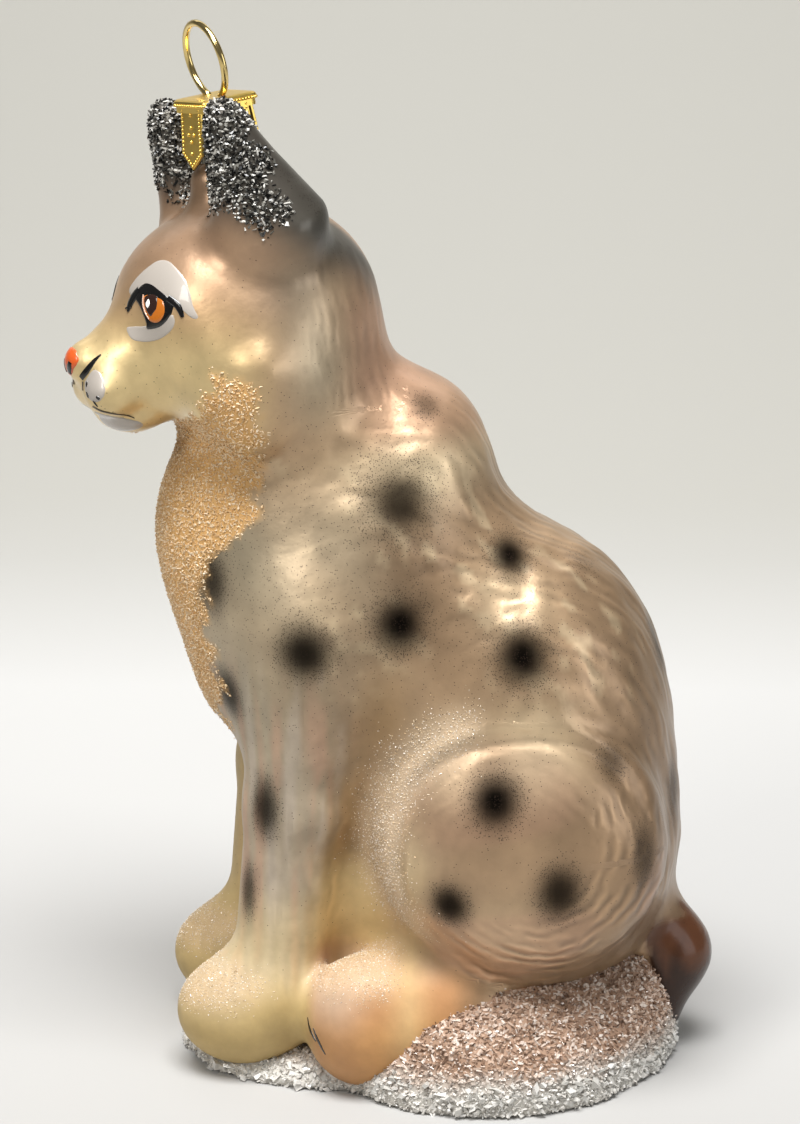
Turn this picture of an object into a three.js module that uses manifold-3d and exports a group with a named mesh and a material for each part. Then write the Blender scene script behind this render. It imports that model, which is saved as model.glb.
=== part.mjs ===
// A sitting lynx as a mouth-blown glass tree ornament: painted glass body on a snow mound,
// stamped metal cap over the glass neck between the ears, and a wire hanging loop.
// Millimetres, +Z up. The lynx faces -Y and its left side is +X. The origin is the centre
// of the flat foot under the snow mound.
import * as THREE from 'three';
import Module from 'manifold-3d';

const wasm = await Module();
wasm.setup();
const { Manifold, Mesh: Shell } = wasm;

// Pose
const HEAD_TURN = 22;               // degrees the head looks to its left
const HEAD_PIVOT = [0, -14, 90];    // middle of the head, where it turns
const HEAD_HEIGHT = HEAD_PIVOT[2];

// Gaps and cuts
const GAP = 0.3;                    // clearance between neighbouring pieces
const FOOT_LEVEL = 1.5;             // snow thickness under the paws
const EAR_ROOT = 12.2;              // above the head's middle, where ears and neck tube start
const EYE_DEPTH = 1.3;
const NOSE_DEPTH = 1.6;

// Cap and loop
const CAP_SIDE = 7.0;
const CAP_SHEET = 0.55;
const CAP_SKIRT = 1.5;
const CAP_TOP = 25.0;               // above the head's middle
const CAP_CENTRE = -11.3;           // behind the head's middle is +, in front is -
const CAP_LEAN = 8;                 // degrees, the cap tips towards the face
const CAP_TURN = 15;                // degrees, the cap sits turned on its neck
const TAB_WIDTH = 4.3;
const TAB_LENGTH = 6.4;
const TAB_POINT = 1.7;
const TAB_FLARE = 7;                // degrees
const TUBE_RADIUS = 2.55;
const WIRE = 0.85;
const LOOP_WIDTH = 8.6;             // across the wire's centre line
const LOOP_LEG = 3.2;               // half the distance between the legs at the cap, doubled
const LOOP_TURN = -5;               // degrees from the cap's left-right line
const LOOP_LEAN = 7;                // degrees, the loop leans towards the face

// Mesh sizes, smaller where the form is finer
const FINE = 2, HEAD_STEP = 2.5, MEDIUM = 3.1, COARSE = 4;

const rad = THREE.MathUtils.degToRad;
const { sin, cos, abs, max, min, hypot, ceil, PI } = Math;

// Distance to an ellipsoid that may be pitched about X and yawed about Z.
function ball(at, half, pitch = 0, yaw = 0) {
  const cp = cos(rad(-pitch)), sp = sin(rad(-pitch)), cy = cos(rad(-yaw)), sy = sin(rad(-yaw));
  const [a, b, c] = half;
  return (x, y, z) => {
    x -= at[0]; y -= at[1]; z -= at[2];
    [x, y] = [cy * x - sy * y, sy * x + cy * y];
    [y, z] = [cp * y - sp * z, sp * y + cp * z];
    const k = hypot(x / a, y / b, z / c);
    return k * (k - 1) / (hypot(x / a / a, y / b / b, z / c / c) + 1e-9);
  };
}

// Distance to a round limb that tapers from one joint to the next.
function limb(from, to, thick, thin) {
  const d = to.map((v, i) => v - from[i]);
  const len2 = d[0] ** 2 + d[1] ** 2 + d[2] ** 2;
  return (x, y, z) => {
    const [px, py, pz] = [x - from[0], y - from[1], z - from[2]];
    const t = min(max((px * d[0] + py * d[1] + pz * d[2]) / len2, 0), 1);
    return hypot(px - t * d[0], py - t * d[1], pz - t * d[2]) - thick - (thin - thick) * t;
  };
}

// Forms run into one another with a fillet of the given size.
function fillet(a, b, size) {
  const h = max(size - abs(a - b), 0) / size;
  return min(a, b) - h * h * size / 4;
}
const grow = (forms) => (x, y, z) =>
  forms.reduce((d, [form, size]) => fillet(d, form(x, y, z), size), 1e3);

const turnC = cos(rad(-HEAD_TURN)), turnS = sin(rad(-HEAD_TURN));
const onHead = (form) => (x, y, z) => {
  const px = x - HEAD_PIVOT[0], py = y - HEAD_PIVOT[1];
  return form(turnC * px - turnS * py, turnS * px + turnC * py, z - HEAD_HEIGHT);
};
const both = (make) => [1, -1].flatMap(make);

// Head, in its own frame about its middle
const head = onHead(grow([
  [ball([0, -6.8, 0.5], [13.5, 14.4, 13]), 1],                        // skull
  [ball([0, -13.8, 0.8], [10.5, 8.6, 8.2]), 5],                        // brow
  ...both((s) => [
    [ball([s * 8.5, -8.8, -6.5], [6.6, 8.5, 8]), 5],                    // cheek
    [limb([s * 13.3, -10.4, -4.5], [s * 12.2, -11.2, -12], 1.9, 1.6), 3.2], // edge of the ruff
  ]),
  [ball([0, -20.5, -5.6], [6, 7.6, 5.5], -10), 4],                   // muzzle
  ...both((s) => [[ball([s * 2.6, -24.6, -7.6], [3.4, 3.2, 3]), 1.4]]), // whisker pads
  [ball([0, -21.5, -10.3], [4, 4.4, 2.6]), 1.1],                      // chin
  [ball([0, -27.2, -4.5], [2.3, 2, 2.1]), 1.4],                       // nose
]));
const ear = (s, top, front) => [
  [limb([s * 8.8, front - 13.2, top - 1.6], [s * 8.4, front - 10.4, 11], 1.6, 3.6), 1],
  [limb([s * 8.8, front - 11.7, top - 3.6], [s * 8.8, -6.7, 11.3], 2, 5.7), 3],
];
const ears = onHead(grow([...ear(1, 25.2, 0), ...ear(-1, 23.8, -1.5)]));
const throat = grow([
  [ball([0, -15.8, 79], [13.5, 11.4, 15]), 1],
  [ball([0, -19.8, 65], [12.5, 12.5, 14]), 6],                        // ruff under the chin
]);
const trunk = grow([
  [ball([0, -9, 60], [17.5, 19, 20]), 1],                             // chest and shoulders
  [ball([0, -2.8, 72.8], [11.5, 9.3, 10.3]), 4.5],                     // shoulder hump
  [ball([0, -17.5, 52.3], [13, 11.4, 15.2]), 5],                        // breast
  [ball([0, 7.6, 46.6], [19, 19.6, 19.2], -15), 7],                     // back
  [ball([0, 10.7, 28.5], [19, 19.4, 24]), 8],                         // rump
  [ball([0, -4, 24], [9.5, 12, 24]), 5],                              // wall between the legs
]);
const foreleg = (s) => {
  const ahead = s > 0 ? 0 : -2.4;     // the right leg stands a little further forward
  return grow([
    [limb([s * 10, -13 + ahead * 0.3, 55], [s * 9.3, -15.5 + ahead, 33], 9, 6), 1],
    [limb([s * 9.3, -15.5 + ahead, 33], [s * 9.3, -18.3 + ahead, 12], 6, 4.9), 2],
    [ball([s * 9.5, -21.6 + ahead, 7.3], [7, 8.4, 6.6]), 5],          // paw
  ]);
};
const THIGH_AT = [12.5, 11, 29.8], THIGH_HALF = [10.5, 16.8, 16.6];
const thigh = (s) => ball([s * THIGH_AT[0], THIGH_AT[1], THIGH_AT[2]], THIGH_HALF);
const hindpaw = (s) => grow([
  [ball([s * 14.5, -6.8, 7.9], [6.8, 7.9, 7.6], 0, s * 8), 1],
  [ball([s * 12.8, 2, 8], [7.8, 11.5, 8]), 4],
]);
const tailForm = grow([
  [limb([0, 22.8, 20], [0, 28.6, 11.6], 6, 5.2), 1],
  [limb([0, 28.6, 11.6], [1, 27, 5.5], 5.2, 4), 2],
]);
const lynx = grow([
  [trunk, 1], [throat, 6], [head, 4], [ears, 3],
  ...both((s) => [[foreleg(s), 5], [thigh(s), 2.2], [hindpaw(s), 3]]),
  [tailForm, 2],
]);
const mound = grow([
  [ball([0.5, 7, 0], [22.5, 21.5, 13.5]), 1],
  [ball([0, 16, 5], [16, 13.5, 12]), 3],                              // heaped up at the tail
  ...both((s) => [[ball([s * 12.5, 6.5, 1], [11, 15, 12]), 3]]),       // banked against the haunches
  [ball([0, -13.5, 0], [16.5, 16.5, 4.8]), 4],                            // thin under the forepaws
]);

// Skin of a form inside a box: one vertex in each grid cell that the surface crosses, moved
// onto the surface along its slope, and one four-sided face round each crossed grid edge.
function skin(form, lo, hi, step) {
  const n = lo.map((v, i) => ceil((hi[i] - v) / step) + 1);
  const at = (i, j, k) => (k * n[1] + j) * n[0] + i;
  const place = (i, j, k) => [lo[0] + i * step, lo[1] + j * step, lo[2] + k * step];
  const value = new Float64Array(n[0] * n[1] * n[2]);
  for (let k = 0; k < n[2]; k++) for (let j = 0; j < n[1]; j++) for (let i = 0; i < n[0]; i++) {
    const edge = !i || !j || !k || i === n[0] - 1 || j === n[1] - 1 || k === n[2] - 1;
    value[at(i, j, k)] = edge ? step : form(...place(i, j, k));
  }
  const verts = [], cell = new Map();
  const corner = (i, j, k) => {
    const key = at(i, j, k);
    if (cell.has(key)) return cell.get(key);
    let sum = [0, 0, 0], count = 0;
    const cross = (a, b) => {
      const va = value[at(...a)], vb = value[at(...b)];
      if (va < 0 === vb < 0) return;
      const t = va / (va - vb);
      for (let c = 0; c < 3; c++) sum[c] += lo[c] + (a[c] + (b[c] - a[c]) * t) * step;
      count++;
    };
    for (const u of [0, 1]) for (const v of [0, 1]) {
      cross([i, j + u, k + v], [i + 1, j + u, k + v]);
      cross([i + u, j, k + v], [i + u, j + 1, k + v]);
      cross([i + u, j + v, k], [i + u, j + v, k + 1]);
    }
    let p = sum.map((v) => v / count);
    const inner = [i, j, k].every((v, c) => v > 0 && v < n[c] - 2);
    for (let pass = 0; inner && pass < 3; pass++) {
      const e = 0.05, d = form(...p);
      const g = [0, 1, 2].map((c) => {
        const a = [...p], b = [...p];
        a[c] += e; b[c] -= e;
        return (form(...a) - form(...b)) / (2 * e);
      });
      const g2 = g[0] ** 2 + g[1] ** 2 + g[2] ** 2 + 1e-6;
      const move = min(max(d / g2, -step / 3), step / 3);
      p = p.map((v, c) => v - g[c] * move);
    }
    verts.push(...p);
    cell.set(key, verts.length / 3 - 1);
    return verts.length / 3 - 1;
  };
  const tris = [];
  const face = (q, flip) => {
    if (flip) q.reverse();
    const gap2 = (a, b) => [0, 1, 2].reduce((s, c) => s + (verts[3 * a + c] - verts[3 * b + c]) ** 2, 0);
    const [a, b, c, d] = q;
    if (gap2(a, c) < gap2(b, d)) tris.push(a, b, c, a, c, d);
    else tris.push(a, b, d, b, c, d);
  };
  const [ni, nj, nk] = n.map((v) => v - 1);
  for (let k = 0; k < nk; k++) for (let j = 0; j < nj; j++) for (let i = 0; i < ni; i++) {
    const here = value[at(i, j, k)] < 0;
    if (j && k && here !== value[at(i + 1, j, k)] < 0)
      face([corner(i, j - 1, k - 1), corner(i, j, k - 1), corner(i, j, k), corner(i, j - 1, k)], !here);
    if (i && k && here !== value[at(i, j + 1, k)] < 0)
      face([corner(i - 1, j, k - 1), corner(i - 1, j, k), corner(i, j, k), corner(i, j, k - 1)], !here);
    if (i && j && here !== value[at(i, j, k + 1)] < 0)
      face([corner(i - 1, j - 1, k), corner(i, j - 1, k), corner(i, j, k), corner(i - 1, j, k)], !here);
  }
  return new Manifold(new Shell({
    numProp: 3, vertProperties: new Float32Array(verts), triVerts: new Uint32Array(tris),
  }));
}

// A three.js geometry as a solid, its shared corners merged by position.
function solid(geometry, matrix = new THREE.Matrix4()) {
  const pos = geometry.attributes.position, index = geometry.index;
  const count = index ? index.count : pos.count;
  const seen = new Map(), verts = [], tris = [];
  const v = new THREE.Vector3();
  for (let t = 0; t < count; t += 3) {
    const tri = [0, 1, 2].map((c) => {
      v.fromBufferAttribute(pos, index ? index.getX(t + c) : t + c);
      const key = [v.x, v.y, v.z].map((x) => Math.round(x * 1e4)).join();
      if (!seen.has(key)) {
        v.applyMatrix4(matrix);
        seen.set(key, verts.length / 3);
        verts.push(v.x, v.y, v.z);
      }
      return seen.get(key);
    });
    if (new Set(tri).size === 3) tris.push(...tri);
  }
  return new Manifold(new Shell({
    numProp: 3, vertProperties: new Float32Array(verts), triVerts: new Uint32Array(tris),
  }));
}

const SIDE = 160;
const shift = (x, y, z) => new THREE.Matrix4().makeTranslation(x, y, z);
const spin = (axis, degrees) => new THREE.Matrix4()[`makeRotation${axis}`](rad(degrees));
const chain = (...steps) => steps.reduce((m, s) => m.multiply(s), new THREE.Matrix4());

// The half of space on the far side of a plane through a point, as a big block.
function side(point, normal, back = 0) {
  const n = new THREE.Vector3(...normal).normalize();
  const turn = new THREE.Quaternion().setFromUnitVectors(new THREE.Vector3(0, 0, 1), n);
  const p = new THREE.Vector3(...point).addScaledVector(n, back + SIDE / 2);
  const m = new THREE.Matrix4().compose(p, turn, new THREE.Vector3(1, 1, 1));
  return solid(new THREE.BoxGeometry(SIDE * 2, SIDE * 2, SIDE), m);
}

// Keep what lies on the normal side of each plane, half a gap clear of it.
const keep = (body, ...planes) =>
  planes.reduce((b, [point, normal]) => b.intersect(side(point, normal, GAP / 2)), body);
const flip = ([point, normal]) => [point, normal.map((v) => -v)];
const largest = (body) =>
  body.decompose().reduce((a, b) => (b.volume() > a.volume() ? b : a));

const headFrame = chain(shift(...HEAD_PIVOT), spin('Z', HEAD_TURN));
const fromHead = ([x, y, z]) => new THREE.Vector3(x, y, z).applyMatrix4(headFrame).toArray();
const turnHead = ([x, y, z]) =>
  new THREE.Vector3(x, y, z).applyMatrix4(spin('Z', HEAD_TURN)).toArray();

// Planes that part the body
const jaw = [fromHead([0, -17.8, -13.6]), turnHead([0, -0.24, 0.97])];
const collar = [[0, -33, 59], [0, -0.59, 0.81]];
const elbow = [[0, 0, 40], [0, 0, -1]];
const behindLeg = [[0, -7, 40], [0, -0.974, 0.224]];
const wrist = [[0, 0, 11.8], [0, 0, -1]];
const tailRoot = [
  [[0, 27.5, 21], [0, 0.968, 0.252]], [[0, 0, 20.6], [0, 0, -1]],
  [[7.4, 0, 0], [-1, 0, 0]], [[-7.4, 0, 0], [1, 0, 0]],
];
const snowTop = [[0, 0, FOOT_LEVEL + GAP / 2], [0, 0, 1]];
const earRoot = [[0, 0, HEAD_HEIGHT + EAR_ROOT], [0, 0, 1]];
const middle = (s) => [[0, 0, 0], [s, 0, 0]];
const inner = (s) => [[s * 4.5, 0, 0], [s, 0, 0]];

// Head with pockets for the painted eyes and nose
const crown = skin(lynx, [-26, -47, 62], [30, 8, 112], HEAD_STEP);
let headBody = keep(crown, jaw, flip(earRoot));
const EYE_HALF = [2.65, 2.75];
const disc = (radius, depth) => new THREE.CylinderGeometry(radius, radius, depth, 20);
function inlay(centre, outward, half, depth, spare) {
  const n = new THREE.Vector3(...outward).normalize();
  const turn = new THREE.Quaternion().setFromUnitVectors(new THREE.Vector3(0, 1, 0), n);
  const size = new THREE.Vector3(half[0] + spare, 1, half[1] + spare);
  const length = 6 + depth + spare;
  const p = new THREE.Vector3(...centre).addScaledVector(n, 6 - length / 2);
  return solid(disc(1, length), headFrame.clone().multiply(new THREE.Matrix4().compose(p, turn, size)));
}
const painted = {};
for (const [name, s] of [['eye_left', 1], ['eye_right', -1]]) {
  const place = [[s * 7.6, -20.7, 2.7], [s * 0.57, -0.8, 0.18], EYE_HALF, EYE_DEPTH];
  painted[name] = headBody.intersect(inlay(...place, 0));
  headBody = headBody.subtract(inlay(...place, GAP));
}
const nosePlace = [[0, -28.8, -4.4], [0, -0.98, 0.1], [2.6, 2.3], NOSE_DEPTH];
painted.nose = headBody.intersect(inlay(...nosePlace, 0));
headBody = headBody.subtract(inlay(...nosePlace, GAP));

// Ears stand each side of the glass neck tube that the cap grips
const earSide = (s) => [fromHead([s * 3.4, 0, 0]), turnHead([s, 0, 0])];
const earSkin = skin(lynx, [-22, -45, 96], [28, 4, 119], FINE);
const earBody = (s) => keep(earSkin, earRoot, earSide(s));
const tubeHeight = CAP_TOP - CAP_SHEET - 1.3 - EAR_ROOT - GAP;
const capFrame = chain(
  headFrame, shift(0, CAP_CENTRE, CAP_TOP), spin('X', CAP_LEAN), spin('Z', CAP_TURN));
const tube = solid(
  new THREE.CylinderGeometry(TUBE_RADIUS, TUBE_RADIUS, tubeHeight + 3, 32),
  chain(capFrame, shift(0, 0, -CAP_SHEET - 1.3 - (tubeHeight + 3) / 2), spin('X', 90)),
);
const tubeBody = keep(tube, earRoot);

// Trunk, legs and tail
const body = (lo, hi, step) => keep(skin(lynx, lo, hi, step), snowTop);
const lower = [[-26.4, -36.0, -4.2], [26.4, 38, 48]];
let torso = keep(skin(lynx, [-26, -40, 34], [26, 38, 92], COARSE), flip(jaw), flip(collar), flip(elbow));
const neckSkin = keep(body([-26, -42, 50], [26, 12, 92], MEDIUM), flip(jaw), collar);
const legSkin = body(...lower, MEDIUM);

// The room that a set of planes encloses, a gap wider than what keep leaves of it.
const block = (planes) => planes.reduce(
  (b, [point, normal]) => b.intersect(side(point, normal, -GAP / 2)), side([0, 0, -20], [0, 0, 1]));
const haunch = (s, spare) => solid(
  new THREE.SphereGeometry(1, 18, 10),
  chain(shift(s * THIGH_AT[0], THIGH_AT[1], THIGH_AT[2]), new THREE.Matrix4().makeScale(
    ...THIGH_HALF.map((v) => v + spare))),
);
const hindPawTop = [[0, 0, 16.8], [0, 0, -1]];
const hindPawInner = (s) => [[s * 7.4, 0, 0], [s, 0, 0]];
const hindPawRear = [[0, 5, 0], [0, -1, 0]];
const pieces = {};
let rump = keep(legSkin, elbow).subtract(block(tailRoot)).subtract(block([elbow, behindLeg]));
for (const [name, s] of [['left', 1], ['right', -1]]) {
  const leg = keep(legSkin, middle(s), elbow, behindLeg);
  pieces[`foreleg_${name}`] = keep(leg, flip(wrist));
  pieces[`forepaw_${name}`] = keep(leg, wrist);
  pieces[`thigh_${name}`] = keep(legSkin, inner(s), flip(behindLeg)).intersect(haunch(s, 0.5));
  const hollow = haunch(s, 0.5 + GAP).intersect(side(...inner(s), -GAP / 2));
  torso = torso.subtract(hollow);
  rump = rump.subtract(hollow);
  const foot = [hindPawInner(s), hindPawTop, hindPawRear, flip(behindLeg)];
  pieces[`hindpaw_${name}`] = keep(legSkin, ...foot).subtract(haunch(s, 0.5 + GAP));
  rump = rump.subtract(block(foot));
}
pieces.tail = keep(body([-14, 14, -4], [14, 38, 30], FINE), ...tailRoot);

// Snow mound, hollowed to fit the body with a gap all round
const swollen = skin((x, y, z) => lynx(x, y, z) - GAP * 2, lower[0], [26, 38, 30], MEDIUM)
  .intersect(side([0, 0, FOOT_LEVEL], [0, 0, 1]));
const snow = keep(skin(mound, [-26, -35, -8], [26, 34, 26], MEDIUM), [[0, 0, -GAP / 2], [0, 0, 1]])
  .subtract(swollen);

// Cap: a square stamped cup with one pointed tab on each side
const rounded = (half, r) => {
  const s = new THREE.Shape();
  s.absarc(half - r, half - r, r, 0, PI / 2);
  s.absarc(r - half, half - r, r, PI / 2, PI);
  s.absarc(r - half, r - half, r, PI, PI * 1.5);
  s.absarc(half - r, r - half, r, PI * 1.5, PI * 2);
  return s;
};
const plate = (half, r, thick) =>
  new THREE.ExtrudeGeometry(rounded(half, r), { depth: thick, bevelEnabled: false, curveSegments: 4 });
const onCap = (geometry, ...steps) => solid(geometry, chain(capFrame, ...steps));
let cap = onCap(plate(CAP_SIDE / 2, 0.8, CAP_SKIRT), shift(0, 0, -CAP_SKIRT))
  .add(onCap(plate(CAP_SIDE / 2 + 0.22, 1, 0.5), shift(0, 0, -0.62)))
  .subtract(onCap(plate(CAP_SIDE / 2 - CAP_SHEET, 0.5, CAP_SKIRT), shift(0, 0, -CAP_SHEET - CAP_SKIRT)));
const tabShape = new THREE.Shape();
tabShape.moveTo(-TAB_WIDTH / 2, 0.9);
tabShape.lineTo(-TAB_WIDTH / 2, TAB_POINT - TAB_LENGTH);
tabShape.lineTo(0, -TAB_LENGTH);
tabShape.lineTo(TAB_WIDTH / 2, TAB_POINT - TAB_LENGTH);
tabShape.lineTo(TAB_WIDTH / 2, 0.9);
tabShape.closePath();
for (let side4 = 0; side4 < 4; side4++) {
  const flap = new THREE.ExtrudeGeometry(tabShape, { depth: CAP_SHEET, bevelEnabled: false });
  cap = cap.add(onCap(flap,
    spin('Z', side4 * 90), shift(0, -CAP_SIDE / 2 + CAP_SHEET, -CAP_SKIRT + 0.1),
    spin('X', 90 - TAB_FLARE)));
}
for (const s of [-1, 1]) {
  cap = cap.subtract(onCap(new THREE.CylinderGeometry(WIRE / 2 + 0.35, WIRE / 2 + 0.35, 3, 16),
    spin('Z', LOOP_TURN), shift(s * LOOP_LEG / 2, 0, 0), spin('X', 90)));
}

// Loop: a round of springy wire whose two legs drop through the cap's holes
class LoopLine extends THREE.Curve {
  getPoint(t, target = new THREE.Vector3()) {
    const r = LOOP_WIDTH / 2, open = Math.asin(LOOP_LEG / 2 / r), leg = 1.1, rise = r * cos(open);
    const arc = 2 * (PI - open) * r, total = arc + 2 * leg, s = t * total;
    if (s < leg) return target.set(-LOOP_LEG / 2, 0, s - leg);
    if (s > leg + arc) return target.set(LOOP_LEG / 2, 0, leg + arc - s);
    const a = -PI / 2 - open - (s - leg) / r;
    return target.set(r * cos(a), 0, rise + r * sin(a));
  }
}
const wireShape = new THREE.Shape().absarc(0, 0, WIRE / 2, 0, PI * 2);
const loop = solid(
  new THREE.ExtrudeGeometry(wireShape, {
    steps: 40, curveSegments: 4, bevelEnabled: false, extrudePath: new LoopLine(),
  }),
  chain(capFrame, spin('Z', LOOP_TURN), spin('X', LOOP_LEAN)),
);

const paint = (color, roughness, metalness = 0) =>
  new THREE.MeshStandardMaterial({ color, roughness, metalness });
const LOOK = {
  fur: paint('#b99a72', 0.35), cream: paint('#e3cf9e', 0.35), face: paint('#cfae82', 0.3),
  pale: paint('#b8b49a', 0.35), ear: paint('#6f6f6c', 0.6), snow: paint('#e9e2dc', 0.75),
  glass: paint('#8f8a78', 0.15), gold: paint('#d8a93a', 0.25, 1), eye: paint('#b5651d', 0.15),
  nose: paint('#d9652a', 0.3), tip: paint('#4a2c1c', 0.2),
};

const ornament = new THREE.Group();
function show(name, shape, look) {
  const { vertProperties, triVerts } = largest(shape).getMesh();
  const g = new THREE.BufferGeometry();
  g.setAttribute('position', new THREE.BufferAttribute(new Float32Array(vertProperties), 3));
  g.setIndex(new THREE.BufferAttribute(new Uint32Array(triVerts), 1));
  g.computeVertexNormals();
  const mesh = new THREE.Mesh(g, look);
  mesh.name = name;
  ornament.add(mesh);
}
show('head', headBody, LOOK.face);
show('eye_left', painted.eye_left, LOOK.eye);
show('eye_right', painted.eye_right, LOOK.eye);
show('nose', painted.nose, LOOK.nose);
show('ear_left', earBody(1), LOOK.ear);
show('ear_right', earBody(-1), LOOK.ear);
show('neck', neckSkin, LOOK.fur);
show('torso', torso, LOOK.fur);
show('rump', rump, LOOK.fur);
for (const name of ['left', 'right']) {
  show(`foreleg_${name}`, pieces[`foreleg_${name}`], LOOK.pale);
  show(`forepaw_${name}`, pieces[`forepaw_${name}`], LOOK.cream);
  show(`thigh_${name}`, pieces[`thigh_${name}`], LOOK.fur);
  show(`hindpaw_${name}`, pieces[`hindpaw_${name}`], LOOK.cream);
}
show('tail', pieces.tail, LOOK.tip);
show('snow_base', snow, LOOK.snow);
show('glass_tube', tubeBody, LOOK.glass);
show('cap', cap, LOOK.gold);
show('hanger_loop', loop, LOOK.gold);

export default ornament;
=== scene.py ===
import math
import bpy
import numpy as np
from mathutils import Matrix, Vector


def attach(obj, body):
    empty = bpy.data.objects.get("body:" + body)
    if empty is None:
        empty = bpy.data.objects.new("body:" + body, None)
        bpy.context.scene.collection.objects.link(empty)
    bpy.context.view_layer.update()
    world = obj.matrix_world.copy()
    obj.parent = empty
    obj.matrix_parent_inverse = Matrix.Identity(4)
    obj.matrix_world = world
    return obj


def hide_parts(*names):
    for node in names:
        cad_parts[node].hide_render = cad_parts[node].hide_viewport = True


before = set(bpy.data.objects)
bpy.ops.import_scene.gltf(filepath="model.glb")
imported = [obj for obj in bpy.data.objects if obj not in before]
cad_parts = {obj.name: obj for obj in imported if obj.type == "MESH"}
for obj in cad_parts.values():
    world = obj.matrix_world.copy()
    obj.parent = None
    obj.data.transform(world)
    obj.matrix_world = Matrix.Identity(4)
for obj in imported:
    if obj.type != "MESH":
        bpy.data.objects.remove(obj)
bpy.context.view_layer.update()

# GLASS BODY
# One blown and moulded glass form, silvered inside and sprayed outside with satin pearl lacquer.
# Its shape is a run of rounded forms that melt into one another, as glass does in a mould.
MM = 0.001
SKIN_STEP = 0.72
HEAD_TURN = 22
HEAD_PIVOT = (0, -14, 90)
GROOVE_DEPTH = 0.15
STRAND = 1.5
random = np.random.default_rng(41)


def turned(p, degrees, a, b):
    """Points turned in the plane of axes a and b."""
    c, s = math.cos(math.radians(degrees)), math.sin(math.radians(degrees))
    q = p.copy()
    q[..., a] = c * p[..., a] - s * p[..., b]
    q[..., b] = s * p[..., a] + c * p[..., b]
    return q


def ball(p, at, half, pitch=0, yaw=0):
    """Distance to an ellipsoid that may be pitched about X and yawed about Z."""
    q = p - np.array(at, float)
    if yaw:
        q = turned(q, -yaw, 0, 1)
    if pitch:
        q = turned(q, -pitch, 1, 2)
    half = np.array(half, float)
    k = np.linalg.norm(q / half, axis=-1)
    return k * (k - 1) / (np.linalg.norm(q / half ** 2, axis=-1) + 1e-9)


def limb(p, start, end, thick, thin):
    """Distance to a round limb that tapers from one joint to the next."""
    start, end = np.array(start, float), np.array(end, float)
    along = end - start
    t = np.clip((p - start) @ along / (along @ along), 0, 1)
    return np.linalg.norm(p - start - t[..., None] * along, axis=-1) - thick - (thin - thick) * t


def melt(a, b, size):
    """Two forms joined with a fillet."""
    h = np.maximum(size - np.abs(a - b), 0) / size
    return np.minimum(a, b) - h * h * size / 4


def on_head(p):
    """Points in the head's own frame, about its middle."""
    return turned(p - np.array(HEAD_PIVOT, float), -HEAD_TURN, 0, 1)


def head_form(q):
    """Skull, cheeks, muzzle and nose, in the head's frame."""
    d = ball(q, (0, -6.8, 0.5), (13.5, 14.4, 13))                                 # skull
    d = melt(d, ball(q, (0, -13.8, 0.8), (10.5, 8.6, 8.2)), 5)                    # brow
    for s in (1, -1):
        d = melt(d, ball(q, (s * 8.5, -8.8, -6.5), (6.6, 8.5, 8)), 5)             # cheek
        ruff = limb(q, (s * 13.3, -10.4, -4.5), (s * 12.2, -11.2, -12), 1.9, 1.6)
        d = melt(d, ruff, 3.2)
    d = melt(d, ball(q, (0, -20.5, -5.6), (6, 7.6, 5.5), -10), 4)                 # muzzle
    for s in (1, -1):
        d = melt(d, ball(q, (s * 2.6, -24.6, -7.6), (3.4, 3.2, 3)), 1.4)          # whisker pad
    d = melt(d, ball(q, (0, -21.5, -10.3), (4, 4.4, 2.6)), 1.1)                   # chin
    return melt(d, ball(q, (0, -27.2, -4.5), (2.3, 2, 2.1)), 1.4)                 # nose


def ear_form(q):
    """Two upright ears, the left a little taller and nearer the face."""
    d = None
    for s, top, front in ((1, 25.2, 0), (-1, 23.8, -1.5)):
        e = limb(q, (s * 8.8, front - 13.2, top - 1.6), (s * 8.4, front - 10.4, 11), 1.6, 3.6)
        e = melt(e, limb(q, (s * 8.8, front - 11.7, top - 3.6), (s * 8.8, -6.7, 11.3), 2, 5.7), 3)
        d = e if d is None else melt(d, e, 0.6)
    return d


THIGH_AT, THIGH_HALF = (12.5, 11, 29.8), (10.5, 16.8, 16.6)


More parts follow.
